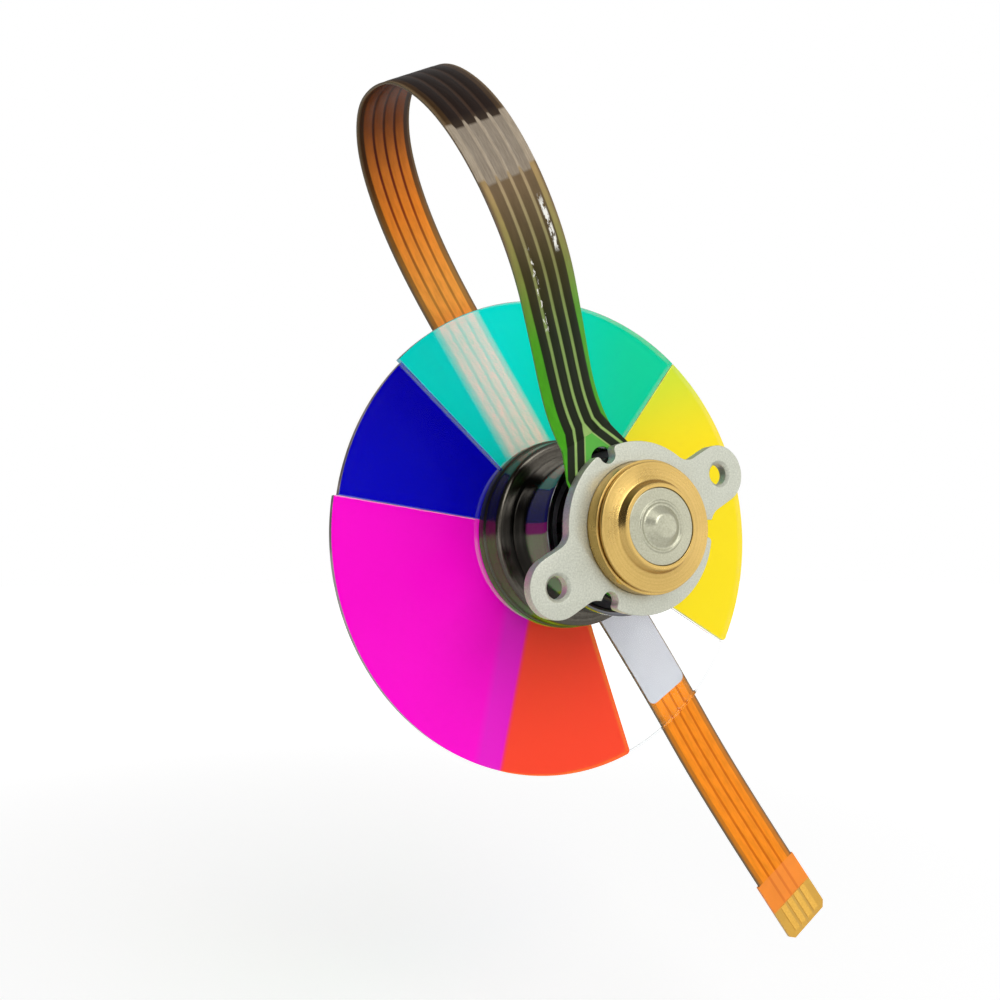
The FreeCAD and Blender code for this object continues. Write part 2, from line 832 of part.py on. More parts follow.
def flex_cable(doc, z):
    """Free flat cable: one strip swept along its route, its width square to the exit."""
    points = [route_point(*place) for place in ROUTE]
    path, radii = tangent_path(points)
    side = side_direction() * (SIZES["flex_width"] / 2)
    first = (points[1] - points[0]).normalize()
    up = first.cross(side_direction()) * (SIZES["flex_thickness"] / 2)
    corners = [points[0] + side + up, points[0] - side + up,
               points[0] - side - up, points[0] + side - up]
    section = Part.makePolygon(corners + [corners[0]])
    sweep = Part.BRepOffsetAPI.MakePipeShell(path)
    sweep.setBiNormalMode(side_direction())
    sweep.add(section)
    sweep.build()
    sweep.makeSolid()
    cable = doc.addObject("Part::Feature", "flex_cable")
    cable.Label = "flex_cable"
    cable.Shape = sweep.shape()
    section_area = SIZES["flex_width"] * SIZES["flex_thickness"]
    print("cable length %.1f mm, volume %.2f of %.2f mm3" % (
        path.Length, cable.Shape.Volume, path.Length * section_area))
    print("cable radii", ", ".join("%.1f" % radius for radius in radii))
    return cable


def tip_placement():
    """Frame at the cable's far end: X runs on along the cable and Y across its thickness."""
    last = route_point(*ROUTE[-1])
    along = (last - route_point(*ROUTE[-2])).normalize()
    side = side_direction()
    side = (side - along * side.dot(along)).normalize()
    normal = side.cross(along)
    turn = Rotation(along, normal, side, "XYZ")
    return Placement(last, turn)


def contact_tip(doc, z):
    """Stiffened end of the cable, a little wider than it, with two cut corners."""
    body = new_body(doc, "contact_tip")
    half = z["tip_width"] / 2
    cut = z["tip_chamfer"]
    sketch = new_sketch(body, "tip_outline", "XZ_Plane", z["flex_thickness"] / 2)
    draw_outline(sketch, [
        (0, -half), (z["tip_length"] - cut, -half), (z["tip_length"], -half + cut),
        (z["tip_length"], half - cut), (z["tip_length"] - cut, half), (0, half)])
    pad(body, "tip_pad", sketch, z["tip_thickness"], backward=True)
    body.Placement = tip_placement()
    return body


def contact_pads(doc, z):
    """Four plated contacts on the face of the tip that looks at the motor."""
    body = new_body(doc, "contact_pads")
    start = z["tip_length"] - z["contact_length"]
    first = -z["contact_pitch"] * (TRACES - 1) / 2
    sketch = new_sketch(body, "pads_outline", "XZ_Plane", z["flex_thickness"] / 2)
    for index in range(TRACES):
        middle = first + z["contact_pitch"] * index
        draw_box(sketch, start, z["tip_length"] - z["tip_chamfer"],
                 middle - z["contact_width"] / 2, middle + z["contact_width"] / 2)
    pad(body, "pads_pad", sketch, z["contact_thickness"])
    body.Placement = tip_placement()
    return body


def build_parts(doc, z):
    parts = [
        mounting_bracket(doc, z),
        bearing_housing(doc, z),
        sleeve_bearing(doc, z),
        thrust_pad(doc, z),
        end_cap(doc, z),
        stator_core(doc, z),
        slot_liner(doc, z, "slot_liner_front", z["core_start"] + z["core_length"]),
        rear_liner(doc, z),
        flex_base(doc, z),
        solder_joints(doc, z),
        flex_cable(doc, z),
        contact_tip(doc, z),
        contact_pads(doc, z),
        rotor_cup(doc, z),
        magnet_ring(doc, z),
        rotor_shaft(doc, z),
        retaining_washer(doc, z),
        wheel_hub(doc, z),
        front_ring(doc, z),
    ]
    for phase, letter in enumerate("uvw"):
        parts.append(phase_coils(doc, z, f"coils_phase_{letter}", phase))
    return parts + glass_panes(doc, z)


def check_and_write(doc, parts):
    """Stops on any failed object or bad shape, then writes one STEP file for each part."""
    doc.recompute()
    for thing in doc.Objects:
        if "Invalid" in thing.State or "Error" in thing.State:
            raise RuntimeError(f"{thing.Name} failed: {thing.State}")
    os.makedirs("parts", exist_ok=True)
    for part in parts:
        shape = part.Shape
        if shape.isNull() or not shape.isValid() or not shape.Solids:
            raise RuntimeError(f"{part.Label} has a bad shape")
        shape.exportStep(f"parts/{part.Label}.step")
        print("%-22s %2d solids %9.3f mm3" % (part.Label, len(shape.Solids), shape.Volume))


def main():
    doc = FreeCAD.newDocument("colour_wheel")
    sizes = fill_sheet(doc)
    check_and_write(doc, build_parts(doc, sizes))


main()
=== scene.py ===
import bpy
import bmesh
import math
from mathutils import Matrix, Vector


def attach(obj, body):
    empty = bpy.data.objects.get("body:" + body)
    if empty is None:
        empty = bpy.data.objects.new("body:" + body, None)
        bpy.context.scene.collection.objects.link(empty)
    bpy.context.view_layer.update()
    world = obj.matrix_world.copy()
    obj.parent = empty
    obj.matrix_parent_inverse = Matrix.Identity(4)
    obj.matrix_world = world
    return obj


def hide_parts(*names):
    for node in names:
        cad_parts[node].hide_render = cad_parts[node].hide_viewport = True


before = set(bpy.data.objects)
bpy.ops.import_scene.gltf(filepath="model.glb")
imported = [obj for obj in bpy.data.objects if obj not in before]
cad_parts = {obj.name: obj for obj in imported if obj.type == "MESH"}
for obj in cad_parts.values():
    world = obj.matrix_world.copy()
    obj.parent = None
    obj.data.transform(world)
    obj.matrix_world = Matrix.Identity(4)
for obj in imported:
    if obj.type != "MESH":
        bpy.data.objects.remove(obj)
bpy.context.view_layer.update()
mm = 0.001
print("frame loaded")


cameraSet = {
    "place": (-0.04043, -0.05449, -0.00327),
    "ahead": (0.4494, 0.8896, 0.0818),
    "lens": 30.08,
    "sensor": 36.0,
    "nearClip": 0.001,
    "farClip": 20.0,
}


def placeCamera():
    data = bpy.data.cameras.new("camera")
    data.sensor_fit = "HORIZONTAL"
    data.sensor_width = cameraSet["sensor"]
    data.lens = cameraSet["lens"]
    data.clip_start = cameraSet["nearClip"]
    data.clip_end = cameraSet["farClip"]
    camera = bpy.data.objects.new("camera", data)
    camera.location = cameraSet["place"]
    camera.rotation_mode = "QUATERNION"
    camera.rotation_quaternion = Vector(cameraSet["ahead"]).to_track_quat("-Z", "Y")
    bpy.context.scene.collection.objects.link(camera)
    bpy.context.scene.camera = camera


placeCamera()
bpy.context.scene.view_settings.view_transform = "Standard"
print("camera placed")


def linear(red, green, blue):
    # a colour as seen on a screen, 0 to 255, turned into the shader's own values
    shares = []
    for value in (red, green, blue):
        share = value / 255
        shares.append(share / 12.92 if share <= 0.04045 else ((share + 0.055) / 1.055) ** 2.4)
    return (*shares, 1.0)


def joinSocket(tree, target, value):
    if isinstance(value, bpy.types.NodeSocket):
        tree.links.new(value, target)
    elif value is not None:
        target.default_value = value


def calc(tree, kind, first, second=None):
    node = tree.nodes.new("ShaderNodeMath")
    node.operation = kind
    joinSocket(tree, node.inputs[0], first)
    joinSocket(tree, node.inputs[1], second)
    return node.outputs[0]


def rangeOf(tree, value, fromLow, fromHigh, toLow=0.0, toHigh=1.0, smooth=False):
    node = tree.nodes.new("ShaderNodeMapRange")
    node.interpolation_type = "SMOOTHSTEP" if smooth else "LINEAR"
    for name, part in zip(("Value", "From Min", "From Max", "To Min", "To Max"),
                          (value, fromLow, fromHigh, toLow, toHigh)):
        joinSocket(tree, node.inputs[name], part)
    return node.outputs["Result"]


def between(tree, value, rise, fall):
    # 1 from the end of the rise to the start of the fall, and 0 outside them
    return calc(tree, "MULTIPLY", rangeOf(tree, value, *rise), rangeOf(tree, value, *fall, 1.0, 0.0))


def nearLine(tree, value, middle, inner, outer):
    # 1 closer to the middle than inner, and 0 past outer
    away = calc(tree, "ABSOLUTE", calc(tree, "SUBTRACT", value, middle))
    return rangeOf(tree, away, inner, outer, 1.0, 0.0)


def blendFloat(tree, share, first, second):
    node = tree.nodes.new("ShaderNodeMix")
    node.data_type = "FLOAT"
    for index, value in ((0, share), (2, first), (3, second)):
        joinSocket(tree, node.inputs[index], value)
    return node.outputs[0]


def blendColour(tree, share, first, second, kind="MIX"):
    node = tree.nodes.new("ShaderNodeMix")
    node.data_type = "RGBA"
    node.blend_type = kind
    for index, value in ((0, share), (6, first), (7, second)):
        joinSocket(tree, node.inputs[index], value)
    return node.outputs[2]


def colourRamp(tree, value, stops):
    # stops are (position, (red, green, blue)) pairs
    node = tree.nodes.new("ShaderNodeValToRGB")
    marks = node.color_ramp.elements
    while len(marks) < len(stops):
        marks.new(1.0)
    for mark, (position, colour) in zip(marks, stops):
        mark.position = position
        mark.color = linear(*colour)
    joinSocket(tree, node.inputs[0], value)
    return node.outputs[0]


def noise(tree, place, scale, detail=2.0, roughness=0.5):
    node = tree.nodes.new("ShaderNodeTexNoise")
    for name, value in (("Vector", place), ("Scale", scale), ("Detail", detail),
                        ("Roughness", roughness)):
        joinSocket(tree, node.inputs[name], value)
    return node.outputs["Fac"]


def objectPlace(tree):
    return tree.nodes.new("ShaderNodeTexCoord").outputs["Object"]


def split(tree, place):
    node = tree.nodes.new("ShaderNodeSeparateXYZ")
    joinSocket(tree, node.inputs[0], place)
    return node.outputs


def gather(tree, x, y, z):
    node = tree.nodes.new("ShaderNodeCombineXYZ")
    for target, value in zip(node.inputs, (x, y, z)):
        joinSocket(tree, target, value)
    return node.outputs[0]


def alongWay(tree, place, way):
    # distance in millimetres from the spin axis along a direction square to it
    x, _, z = split(tree, place)
    return calc(tree, "ADD", calc(tree, "MULTIPLY", x, way[0] / mm),
                calc(tree, "MULTIPLY", z, way[1] / mm))


def attributeOf(tree, name):
    node = tree.nodes.new("ShaderNodeAttribute")
    node.attribute_name = name
    return node.outputs["Fac"]


def newGroup(name, inputs, outputs):
    tree = bpy.data.node_groups.new(name, "ShaderNodeTree")
    for title, kind, value in inputs:
        made = tree.interface.new_socket(name=title, in_out="INPUT", socket_type=kind)
        if value is not None:
            made.default_value = value
    for title in outputs:
        tree.interface.new_socket(name=title, in_out="OUTPUT", socket_type="NodeSocketFloat")
    start = tree.nodes.new("NodeGroupInput")
    end = tree.nodes.new("NodeGroupOutput")
    return tree, start.outputs, end.inputs


def useGroup(tree, group, **values):
    node = tree.nodes.new("ShaderNodeGroup")
    node.node_tree = group
    for name, value in values.items():
        joinSocket(tree, node.inputs[name], value)
    return node.outputs


def bumpNode(tree, height, strength, distance):
    # distance in millimetres
    node = tree.nodes.new("ShaderNodeBump")
    node.inputs["Strength"].default_value = strength
    node.inputs["Distance"].default_value = distance * mm
    joinSocket(tree, node.inputs["Height"], height)
    return node.outputs[0]


def newMaterial(name, **values):
    material = bpy.data.materials.new(name)
    material.use_nodes = True
    tree = material.node_tree
    shader = tree.nodes["Principled BSDF"]
    for title, value in values.items():
        joinSocket(tree, shader.inputs[title.replace("_", " ")], value)
    return material, tree, shader


def makeGrainGroup():
    # fine speckle of a blasted or rolled surface, with broader cloudy tone
    tree, start, end = newGroup("fineGrain", [
        ("Place", "NodeSocketVector", None), ("Fine", "NodeSocketFloat", 9000.0),
        ("Broad", "NodeSocketFloat", 400.0)], ["Height", "Tone", "Cloud"])
    fine = noise(tree, start["Place"], start["Fine"], 3.0, 0.6)
    broad = noise(tree, start["Place"], start["Broad"], 3.0, 0.55)
    joinSocket(tree, end["Height"], fine)
    joinSocket(tree, end["Tone"], rangeOf(tree, fine, 0.3, 0.7))
    joinSocket(tree, end["Cloud"], rangeOf(tree, broad, 0.35, 0.65, smooth=True))
    return tree


def makeTurnedGroup():
    # marks that a lathe tool leaves round the spin axis, on faces and walls alike
    waverScale = 300.0
    tree, start, end = newGroup("turnedMarks", [
        ("Place", "NodeSocketVector", None), ("Marks", "NodeSocketFloat", 12000.0),
        ("Waver", "NodeSocketFloat", 0.02)], ["Height", "Tone"])
    x, y, z = split(tree, start["Place"])
    radius = calc(tree, "SQRT", calc(tree, "ADD", calc(tree, "MULTIPLY", x, x),
                                     calc(tree, "MULTIPLY", z, z)))
    waver = calc(tree, "MULTIPLY", start["Waver"], noise(tree, start["Place"], waverScale))
    across = calc(tree, "ADD", radius, calc(tree, "MULTIPLY", waver, mm))
    rings = noise(tree, gather(tree, across, y, 0.0), start["Marks"], 3.0, 0.65)
    joinSocket(tree, end["Height"], rings)
    joinSocket(tree, end["Tone"], rangeOf(tree, rings, 0.35, 0.65))
    return tree


traceSet = {
    "count": 4,
    "pitch": 1.05,
    "half": 0.38,
    "soft": 0.05,
}


def makeTraceGroup():
    # flat conductors side by side; spread parts the two pairs where the cable flares
    tree, start, end = newGroup("traceLayout", [
        ("Across", "NodeSocketFloat", 0.0), ("Spread", "NodeSocketFloat", 0.0),
        ("Half", "NodeSocketFloat", traceSet["half"])],
        ["Trace", "Gap", "Margin", "Window"])
    half, pitch, soft = start["Half"], traceSet["pitch"], traceSet["soft"]
    pairWidth = pitch * traceSet["count"] / 2
    lastMiddle = pairWidth - pitch / 2
    inner, outer = calc(tree, "SUBTRACT", half, soft), calc(tree, "ADD", half, soft)
    distance = calc(tree, "SUBTRACT", calc(tree, "ABSOLUTE", start["Across"]), start["Spread"])
    window = rangeOf(tree, distance, -soft, soft, 1.0, 0.0)
    cell = calc(tree, "MODULO", calc(tree, "MAXIMUM", distance, 0.0), pitch)
    within = rangeOf(tree, distance, pairWidth - soft, pairWidth, 1.0, 0.0)
    trace = calc(tree, "MULTIPLY", nearLine(tree, cell, pitch / 2, inner, outer),
                 calc(tree, "MULTIPLY", within, calc(tree, "SUBTRACT", 1.0, window)))
    margin = rangeOf(tree, distance, calc(tree, "ADD", inner, lastMiddle),
                     calc(tree, "ADD", outer, lastMiddle))
    gap = calc(tree, "SUBTRACT", calc(tree, "SUBTRACT", 1.0, trace), margin)
    for name, value in (("Trace", trace), ("Gap", calc(tree, "MAXIMUM", gap, 0.0)),
                        ("Margin", margin), ("Window", window)):
        joinSocket(tree, end[name], value)
    return tree


fineGrain = makeGrainGroup()
turnedMarks = makeTurnedGroup()
traceLayout = makeTraceGroup()
print("shared effects made")


def finishPiece(bm, name, materials, body, nodes=(), sharpAngle=32.0):
    # makes the object, shades it smooth between sharp edges and hangs it on its body
    limit = math.radians(sharpAngle)
    for face in bm.faces:
        face.smooth = True
    for edge in bm.edges:
        edge.smooth = len(edge.link_faces) == 2 and edge.calc_face_angle(0.0) < limit
    mesh = bpy.data.meshes.new(name)
    bm.to_mesh(mesh)
    bm.free()
    for material in materials:
        mesh.materials.append(material)
    piece = bpy.data.objects.new(name, mesh)
    bpy.context.scene.collection.objects.link(piece)
    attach(piece, body)
    if nodes:
        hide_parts(*nodes)
    return piece


def turnOutline(bm, outline, closed, steps, rounding=3):
    # outline: (radius, depth, corner rounding) in millimetres, turned about the spin axis
    verts = [bm.verts.new((radius * mm, depth * mm, 0)) for radius, depth, _ in outline]
    for first, second in zip(verts, verts[1:]):
        bm.edges.new((first, second))
    if closed:
        bm.edges.new((verts[-1], verts[0]))
    for width in sorted({corner for _, _, corner in outline if corner}):
        chosen = [vert for vert, (_, _, corner) in zip(verts, outline) if corner == width]
        bmesh.ops.bevel(bm, geom=chosen, offset=width * mm, offset_type="OFFSET", segments=rounding,
                        profile=0.5, affect="VERTICES", material=-1)
    bmesh.ops.spin(bm, geom=bm.verts[:] + bm.edges[:], cent=(0, 0, 0), axis=(0, 1, 0),
                   angle=math.tau, steps=steps, use_merge=True)
    bmesh.ops.remove_doubles(bm, verts=bm.verts[:], dist=1e-7)
    bmesh.ops.recalc_face_normals(bm, faces=bm.faces[:])


def turnPiece(name, outline, materials, body, nodes, closed=True, steps=160):
    bm = bmesh.new()
    turnOutline(bm, outline, closed, steps)
    return finishPiece(bm, name, materials, body, nodes)


def onHole(edge, hole):
    # true for an edge on the rim of a hole, given by its middle and radius in millimetres
    middle, radius = Vector((hole[0], 0, hole[1])) * mm, hole[2] * mm
    near = 0.05 * mm
    return all(abs((Vector((vert.co.x, 0, vert.co.z)) - middle).length - radius) < near
               for vert in edge.verts)


def dressNode(node, material, body, width, segments, holes=(), sharp=30.0, flat=0.6):
    # a merged copy of a CAD node with its crisp edges eased, but not at holes, shown in the node's place
    bm = bmesh.new()
    bm.from_mesh(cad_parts[node].data)
    bmesh.ops.remove_doubles(bm, verts=bm.verts[:], dist=1e-6)
    bmesh.ops.dissolve_limit(bm, angle_limit=math.radians(flat), use_dissolve_boundaries=False,
                             verts=bm.verts[:], edges=bm.edges[:])
    limit = math.radians(sharp)
    crisp = [edge for edge in bm.edges if edge.calc_face_angle(0.0) > limit
             and not any(onHole(edge, hole) for hole in holes)]
    bmesh.ops.bevel(bm, geom=crisp, offset=width * mm, offset_type="OFFSET", segments=segments,
                    profile=0.5, affect="EDGES", clamp_overlap=True, material=-1)
    return finishPiece(bm, node + "_dressed", [material], body, [node])


def paintNode(node, material):
    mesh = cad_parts[node].data
    mesh.materials.clear()
    mesh.materials.append(material)


cableSet = {
    "exitAngle": 120.7,
    # distance from the spin axis along the exit, depth, and shift across, in millimetres
    "route": [(8.6, 1.1, -0.4), (10.2, 1.1, -0.4), (12.9, 0.3, -0.4), (17.0, -1.9, -0.5),
              (22.3, -4.4, -0.55), (28.2, -5.3, -0.6), (33.5, -4.4, -0.55), (37.6, -1.1, -0.15),
              (39.3, 2.9, 0.2), (39.6, 7.2, 0.5), (37.4, 11.0, 0.7), (33.2, 13.6, 1.0),
              (27.6, 15.0, 1.3), (20.0, 15.5, 1.8), (8.0, 15.3, 2.4), (-6.0, 15.5, 2.9),
              (-18.5, 14.4, 3.4), (-31.0, 13.6, 3.5), (-41.4, 11.3, 3.5)],
    "width": 5.2,
    "thickness": 0.2,
    "length": 124.0,
    "relief": 0.015,
    "slope": 0.035,
    "sideInset": 0.03,
    "sideShare": 0.6,
    "cutBand": 0.02,
}


def outAt(degrees):
    # direction out of the spin axis, at an angle that rises from +X
    turn = math.radians(degrees)
    return Vector((math.cos(turn), 0, math.sin(turn)))


exitWay = outAt(cableSet["exitAngle"])
sideWay = outAt(cableSet["exitAngle"] - 90)


def routePoint(along, depth, across):
    return (exitWay * along + sideWay * across + Vector((0, depth, 0))) * mm


def readRoute():
    # the cable's middle line, read from a NURBS curve through the route's points
    curve = bpy.data.curves.new("cableLine", "CURVE")
    curve.dimensions = "3D"
    curve.resolution_u = 10
    line = curve.splines.new("NURBS")
    line.points.add(len(cableSet["route"]) - 1)
    for point, place in zip(line.points, cableSet["route"]):
        point.co = (*routePoint(*place), 1.0)
    line.order_u = 3
    line.use_endpoint_u = True
    carrier = bpy.data.objects.new("cableLine", curve)
    bpy.context.scene.collection.objects.link(carrier)
    bpy.context.view_layer.update()
    mesh = bpy.data.meshes.new_from_object(carrier)
    points = [vert.co.copy() for vert in mesh.vertices]
    bpy.data.objects.remove(carrier)
    bpy.data.meshes.remove(mesh)
    bpy.data.curves.remove(curve)
    return points


cablePoints = readRoute()


def travelled(points):
    # distance from the exit at each point, in millimetres
    distances = [0.0]
    for first, second in zip(points, points[1:]):
        distances.append(distances[-1] + (second - first).length / mm)
    return distances


cableTravel = travelled(cablePoints)


def cableFrames(points):
    # at each point: its place, the way across and the way out of the inner side
    frames = []
    for index, point in enumerate(points):
        before = points[max(index - 1, 0)]
        after = points[min(index + 1, len(points) - 1)]
        ahead = (after - before).normalized()
        across = (sideWay - ahead * sideWay.dot(ahead)).normalized()
        frames.append((point, across, ahead.cross(across).normalized()))
    return frames


def sectionPoints():
    # the cable's cross section: conductors stand a little proud of the film on both sides
    high = cableSet["thickness"] / 2
    low = high - cableSet["relief"]
    half = cableSet["width"] / 2
    reach = half - cableSet["sideInset"]
    side = low * cableSet["sideShare"]
    slope = cableSet["slope"]
    steps = [(-reach, low)]
    for number in range(traceSet["count"]):
        middle = (number - (traceSet["count"] - 1) / 2) * traceSet["pitch"]
        left, right = middle - traceSet["half"], middle + traceSet["half"]
        steps += [(left - slope, low), (left + slope, high), (right - slope, high), (right + slope, low)]
    steps.append((reach, low))
    outer = [(across, -height) for across, height in steps]
    inner = [(across, height) for across, height in reversed(steps)]
    return outer + [(half, -side), (half, side)] + inner + [(-half, side), (-half, -side)]


def sweepSection(bm, section, frames, distances):
    # carries a closed section along the frames by extruding its edges from step to step
    acrossLayer = bm.verts.layers.float.new("across")
    alongLayer = bm.verts.layers.float.new("along")

    def place(verts, index):
        point, across, out = frames[index]
        for vert, (shift, height) in zip(verts, section):
            vert.co = point + across * (shift * mm) + out * (height * mm)
            vert[acrossLayer] = shift
            vert[alongLayer] = distances[index]

    ring = [bm.verts.new() for _ in section]
    place(ring, 0)
    edges = [bm.edges.new((first, second)) for first, second in zip(ring, ring[1:] + ring[:1])]
    firstRing = ring
    for index in range(1, len(frames)):
        made = bmesh.ops.extrude_edge_only(bm, edges=edges)["geom"]
        partner = {}
        newVerts = {vert for vert in made if isinstance(vert, bmesh.types.BMVert)}
        for vert in ring:
            for edge in vert.link_edges:
                other = edge.other_vert(vert)
                if other in newVerts:
                    partner[vert] = other
        ring = [partner[vert] for vert in ring]
        place(ring, index)
        edges = [bm.edges.get((first, second)) for first, second in zip(ring, ring[1:] + ring[:1])]
    bm.faces.new(firstRing)
    bm.faces.new(ring)
    bmesh.ops.recalc_face_normals(bm, faces=bm.faces[:])
    return acrossLayer, alongLayer


filmLook = {
    # travelled length in millimetres, then the colours of conductor, gap and margin; on the outer side
    # near the exit the near-black conductors are a painted dark reflection and the green gaps and
    # margins are painted light from the cyan pane seen through the film, and over the loop's top the
    # dark browns are painted shade
    "outer": [
        (0.0, (18, 26, 3), (150, 184, 104), (72, 166, 26)),
        (9.0, (22, 32, 4), (134, 160, 88), (80, 164, 32)),
        (14.0, (56, 50, 16), (134, 134, 80), (130, 136, 66)),
        (20.2, (114, 94, 68), (172, 150, 114), (170, 142, 94)),
        (25.6, (26, 10, 2), (56, 38, 26), (62, 42, 18)),
        (36.0, (26, 11, 3), (50, 34, 24), (56, 33, 12)),
        (48.0, (90, 44, 12), (60, 26, 8), (60, 36, 16)),
    ],
    # on the inner side the dark browns over the loop's top are painted shade, which lifts to the orange
    # film further along
    "inner": [
        (36.0, (70, 34, 14), (44, 18, 4), (44, 26, 16)),
        (42.0, (140, 76, 32), (76, 30, 2), (66, 43, 26)),
        (46.0, (216, 122, 40), (98, 28, 2), (84, 48, 14)),
        (50.0, (244, 138, 38), (146, 60, 4), (132, 84, 32)),
        (58.0, (250, 164, 66), (190, 126, 50), (166, 118, 56)),
        (100.0, (254, 146, 30), (216, 108, 8), (204, 122, 34)),
    ],
    "traceHalf": 0.4,
    # along the cable, from and to, then how far the pairs part or the conductors drift
    "parting": (0.0, 1.0, 0.35, 0.0),
    "drift": (4.0, 13.0, 0.25, 0.0),
    "mottle": (0.35, 0.75, 0.0, 0.22),
    "mottleTone": (20, 12, 4),
    # the band beside each cut edge: its colour, its reach across, and where it starts along the cable
    "edge": (112, 92, 66),
    "edgeBand": (2.3, 2.52),
    "edgeFrom": (12.0, 18.0),
    "rough": (0.3, 0.7, 0.28, 0.42),
}
hazeLook = {
    "start": 20.9,
    "end": 25.2,
    "soft": 0.1,
    "ragged": 0.45,
    "overTrace": (150, 138, 122),
    "overGap": (176, 162, 142),
    "streak": (104, 92, 76),
    "streakShare": (0.35, 0.65, 0.0, 0.5),
    "cover": 0.9,
}
whiteFleckLook = {
    # the white of the flecks
    "bare": (236, 234, 226),
    "tracks": [
        # middle across, its half width and soft edge, rise and fall along, and how much is flecked
        (1.6, (0.14, 0.24), (14.5, 15.1), (18.0, 18.8), (0.46, 0.5)),
        (-0.92, (0.12, 0.2), (9.0, 10.0), (14.5, 16.0), (0.56, 0.6)),
    ],
}


def filmColour(tree, along, masks, table):
    # conductor, gap and margin colours that change along the cable, with painted shade, painted dark
    # reflection and painted light through the film among them
    share = calc(tree, "DIVIDE", along, cableSet["length"])
    colours = []
    for column in (1, 2, 3):
        stops = [(row[0] / cableSet["length"], row[column]) for row in table]
        colours.append(colourRamp(tree, share, stops))
    base = blendColour(tree, masks["Gap"], colours[0], colours[1])
    return blendColour(tree, masks["Margin"], base, colours[2])


def hazedColour(tree, colour, across, along, trace):
    # a milky, streaked band across the cable, whose ends step at each conductor
    start, end, soft = hazeLook["start"], hazeLook["end"], hazeLook["soft"]
    ragged = calc(tree, "ADD", along, calc(tree, "MULTIPLY", trace, hazeLook["ragged"]))
    patch = between(tree, ragged, (start - soft, start + soft), (end - soft, end + soft))
    milk = blendColour(tree, trace, linear(*hazeLook["overGap"]), linear(*hazeLook["overTrace"]))
    streaks = noise(tree, gather(tree, calc(tree, "MULTIPLY", across, 9.0), along, 1.0), 0.9, 5.0, 0.7)
    streaked = rangeOf(tree, streaks, *hazeLook["streakShare"])
    milk = blendColour(tree, streaked, milk, linear(*hazeLook["streak"]))
    return blendColour(tree, calc(tree, "MULTIPLY", patch, hazeLook["cover"]), colour, milk)


def whiteFleckColour(tree, colour, across, along):
    # white flecks beside two of the conductors, spread by noise
    fleckNoise = noise(tree, gather(tree, calc(tree, "MULTIPLY", across, 2.4), along, 3.0), 1.7, 5.0, 0.7)
    bare = 0.0
    for middle, half, rise, fall, fleckShare in whiteFleckLook["tracks"]:
        track = calc(tree, "MULTIPLY", nearLine(tree, across, middle, *half),
                     between(tree, along, rise, fall))
        spots = calc(tree, "MULTIPLY", track, rangeOf(tree, fleckNoise, *fleckShare))
        bare = calc(tree, "MAXIMUM", spots, bare)
    return blendColour(tree, bare, colour, linear(*whiteFleckLook["bare"]))


def filmMaterial(name, table, worn):
    material, tree, shader = newMaterial(name, Specular_IOR_Level=0.1)
    along = attributeOf(tree, "along")
    across = attributeOf(tree, "across")
    parting = rangeOf(tree, along, *filmLook["parting"])
    drifted = calc(tree, "SUBTRACT", across, rangeOf(tree, along, *filmLook["drift"], smooth=True))
    masks = useGroup(tree, traceLayout, Across=drifted, Spread=parting, Half=filmLook["traceHalf"])
    colour = filmColour(tree, along, masks, table)
    place = gather(tree, across, calc(tree, "MULTIPLY", along, 0.25), 0.0)
    mottle = noise(tree, place, 2.2, 4.0, 0.6)
    colour = blendColour(tree, rangeOf(tree, mottle, *filmLook["mottle"]), colour,
                         linear(*filmLook["mottleTone"]), "MULTIPLY")
    edge = calc(tree, "MULTIPLY",
                rangeOf(tree, calc(tree, "ABSOLUTE", across), *filmLook["edgeBand"]),
                rangeOf(tree, along, *filmLook["edgeFrom"]))
    colour = blendColour(tree, edge, colour, linear(*filmLook["edge"]))
    if worn:
        colour = hazedColour(tree, colour, across, along, masks["Trace"])
        colour = whiteFleckColour(tree, colour, across, along)
    joinSocket(tree, shader.inputs["Base Color"], colour)
    fine = noise(tree, place, 30.0, 2.0)
    joinSocket(tree, shader.inputs["Roughness"], rangeOf(tree, fine, *filmLook["rough"]))
    joinSocket(tree, shader.inputs["Normal"], bumpNode(tree, mottle, 0.25, 0.1))
    return material


def cutEdgeMaterial():
    # green where the cable leaves the motor, and brown further along; the green is painted light, the
    # cyan pane's colour seen through the film's edge
    material, tree, shader = newMaterial("cableCutEdge", Roughness=0.5)
    grain = noise(tree, objectPlace(tree), 4000.0, 3.0)
    brown = blendColour(tree, grain, linear(70, 58, 40), linear(120, 104, 78))
    far = rangeOf(tree, attributeOf(tree, "along"), 10.0, 16.0)
    joinSocket(tree, shader.inputs["Base Color"], blendColour(tree, far, linear(70, 140, 30), brown))
    return material


def makeCable():
    frames = cableFrames(cablePoints)
    bm = bmesh.new()
    acrossLayer, alongLayer = sweepSection(bm, sectionPoints(), frames, cableTravel)
    cutFrom = cableSet["width"] / 2 - cableSet["cutBand"]
    for face in bm.faces:
        along = sum(vert[alongLayer] for vert in face.verts) / len(face.verts)
        across = sum(vert[acrossLayer] for vert in face.verts) / len(face.verts)
        index = min(range(len(frames)), key=lambda step: abs(cableTravel[step] - along))
        point, _, out = frames[index]
        if abs(across) > cutFrom or len(face.verts) > 4:
            face.material_index = 2
        else:
            face.material_index = 1 if (face.calc_center_median() - point).dot(out) > 0 else 0
    outer = filmMaterial("cableOuterFilm", filmLook["outer"], True)
    inner = filmMaterial("cableInnerFilm", filmLook["inner"], False)
    return finishPiece(bm, "flatCable", [outer, inner, cutEdgeMaterial()], "stator", ["flex_cable"],
                       sharpAngle=50.0)


cable = makeCable()
print("cable made", round(cableTravel[-1], 1), "mm")


labelSet = {
    "start": 79.0,
    "end": 102.6,
    "width": 4.9,
    "thickness": 0.05,
    "corner": 0.7,
    "lift": 0.1,
    "steps": 24,
    "paper": (198, 199, 205),
    "shade": (188, 189, 196),
    "shadeShare": 0.6,
}


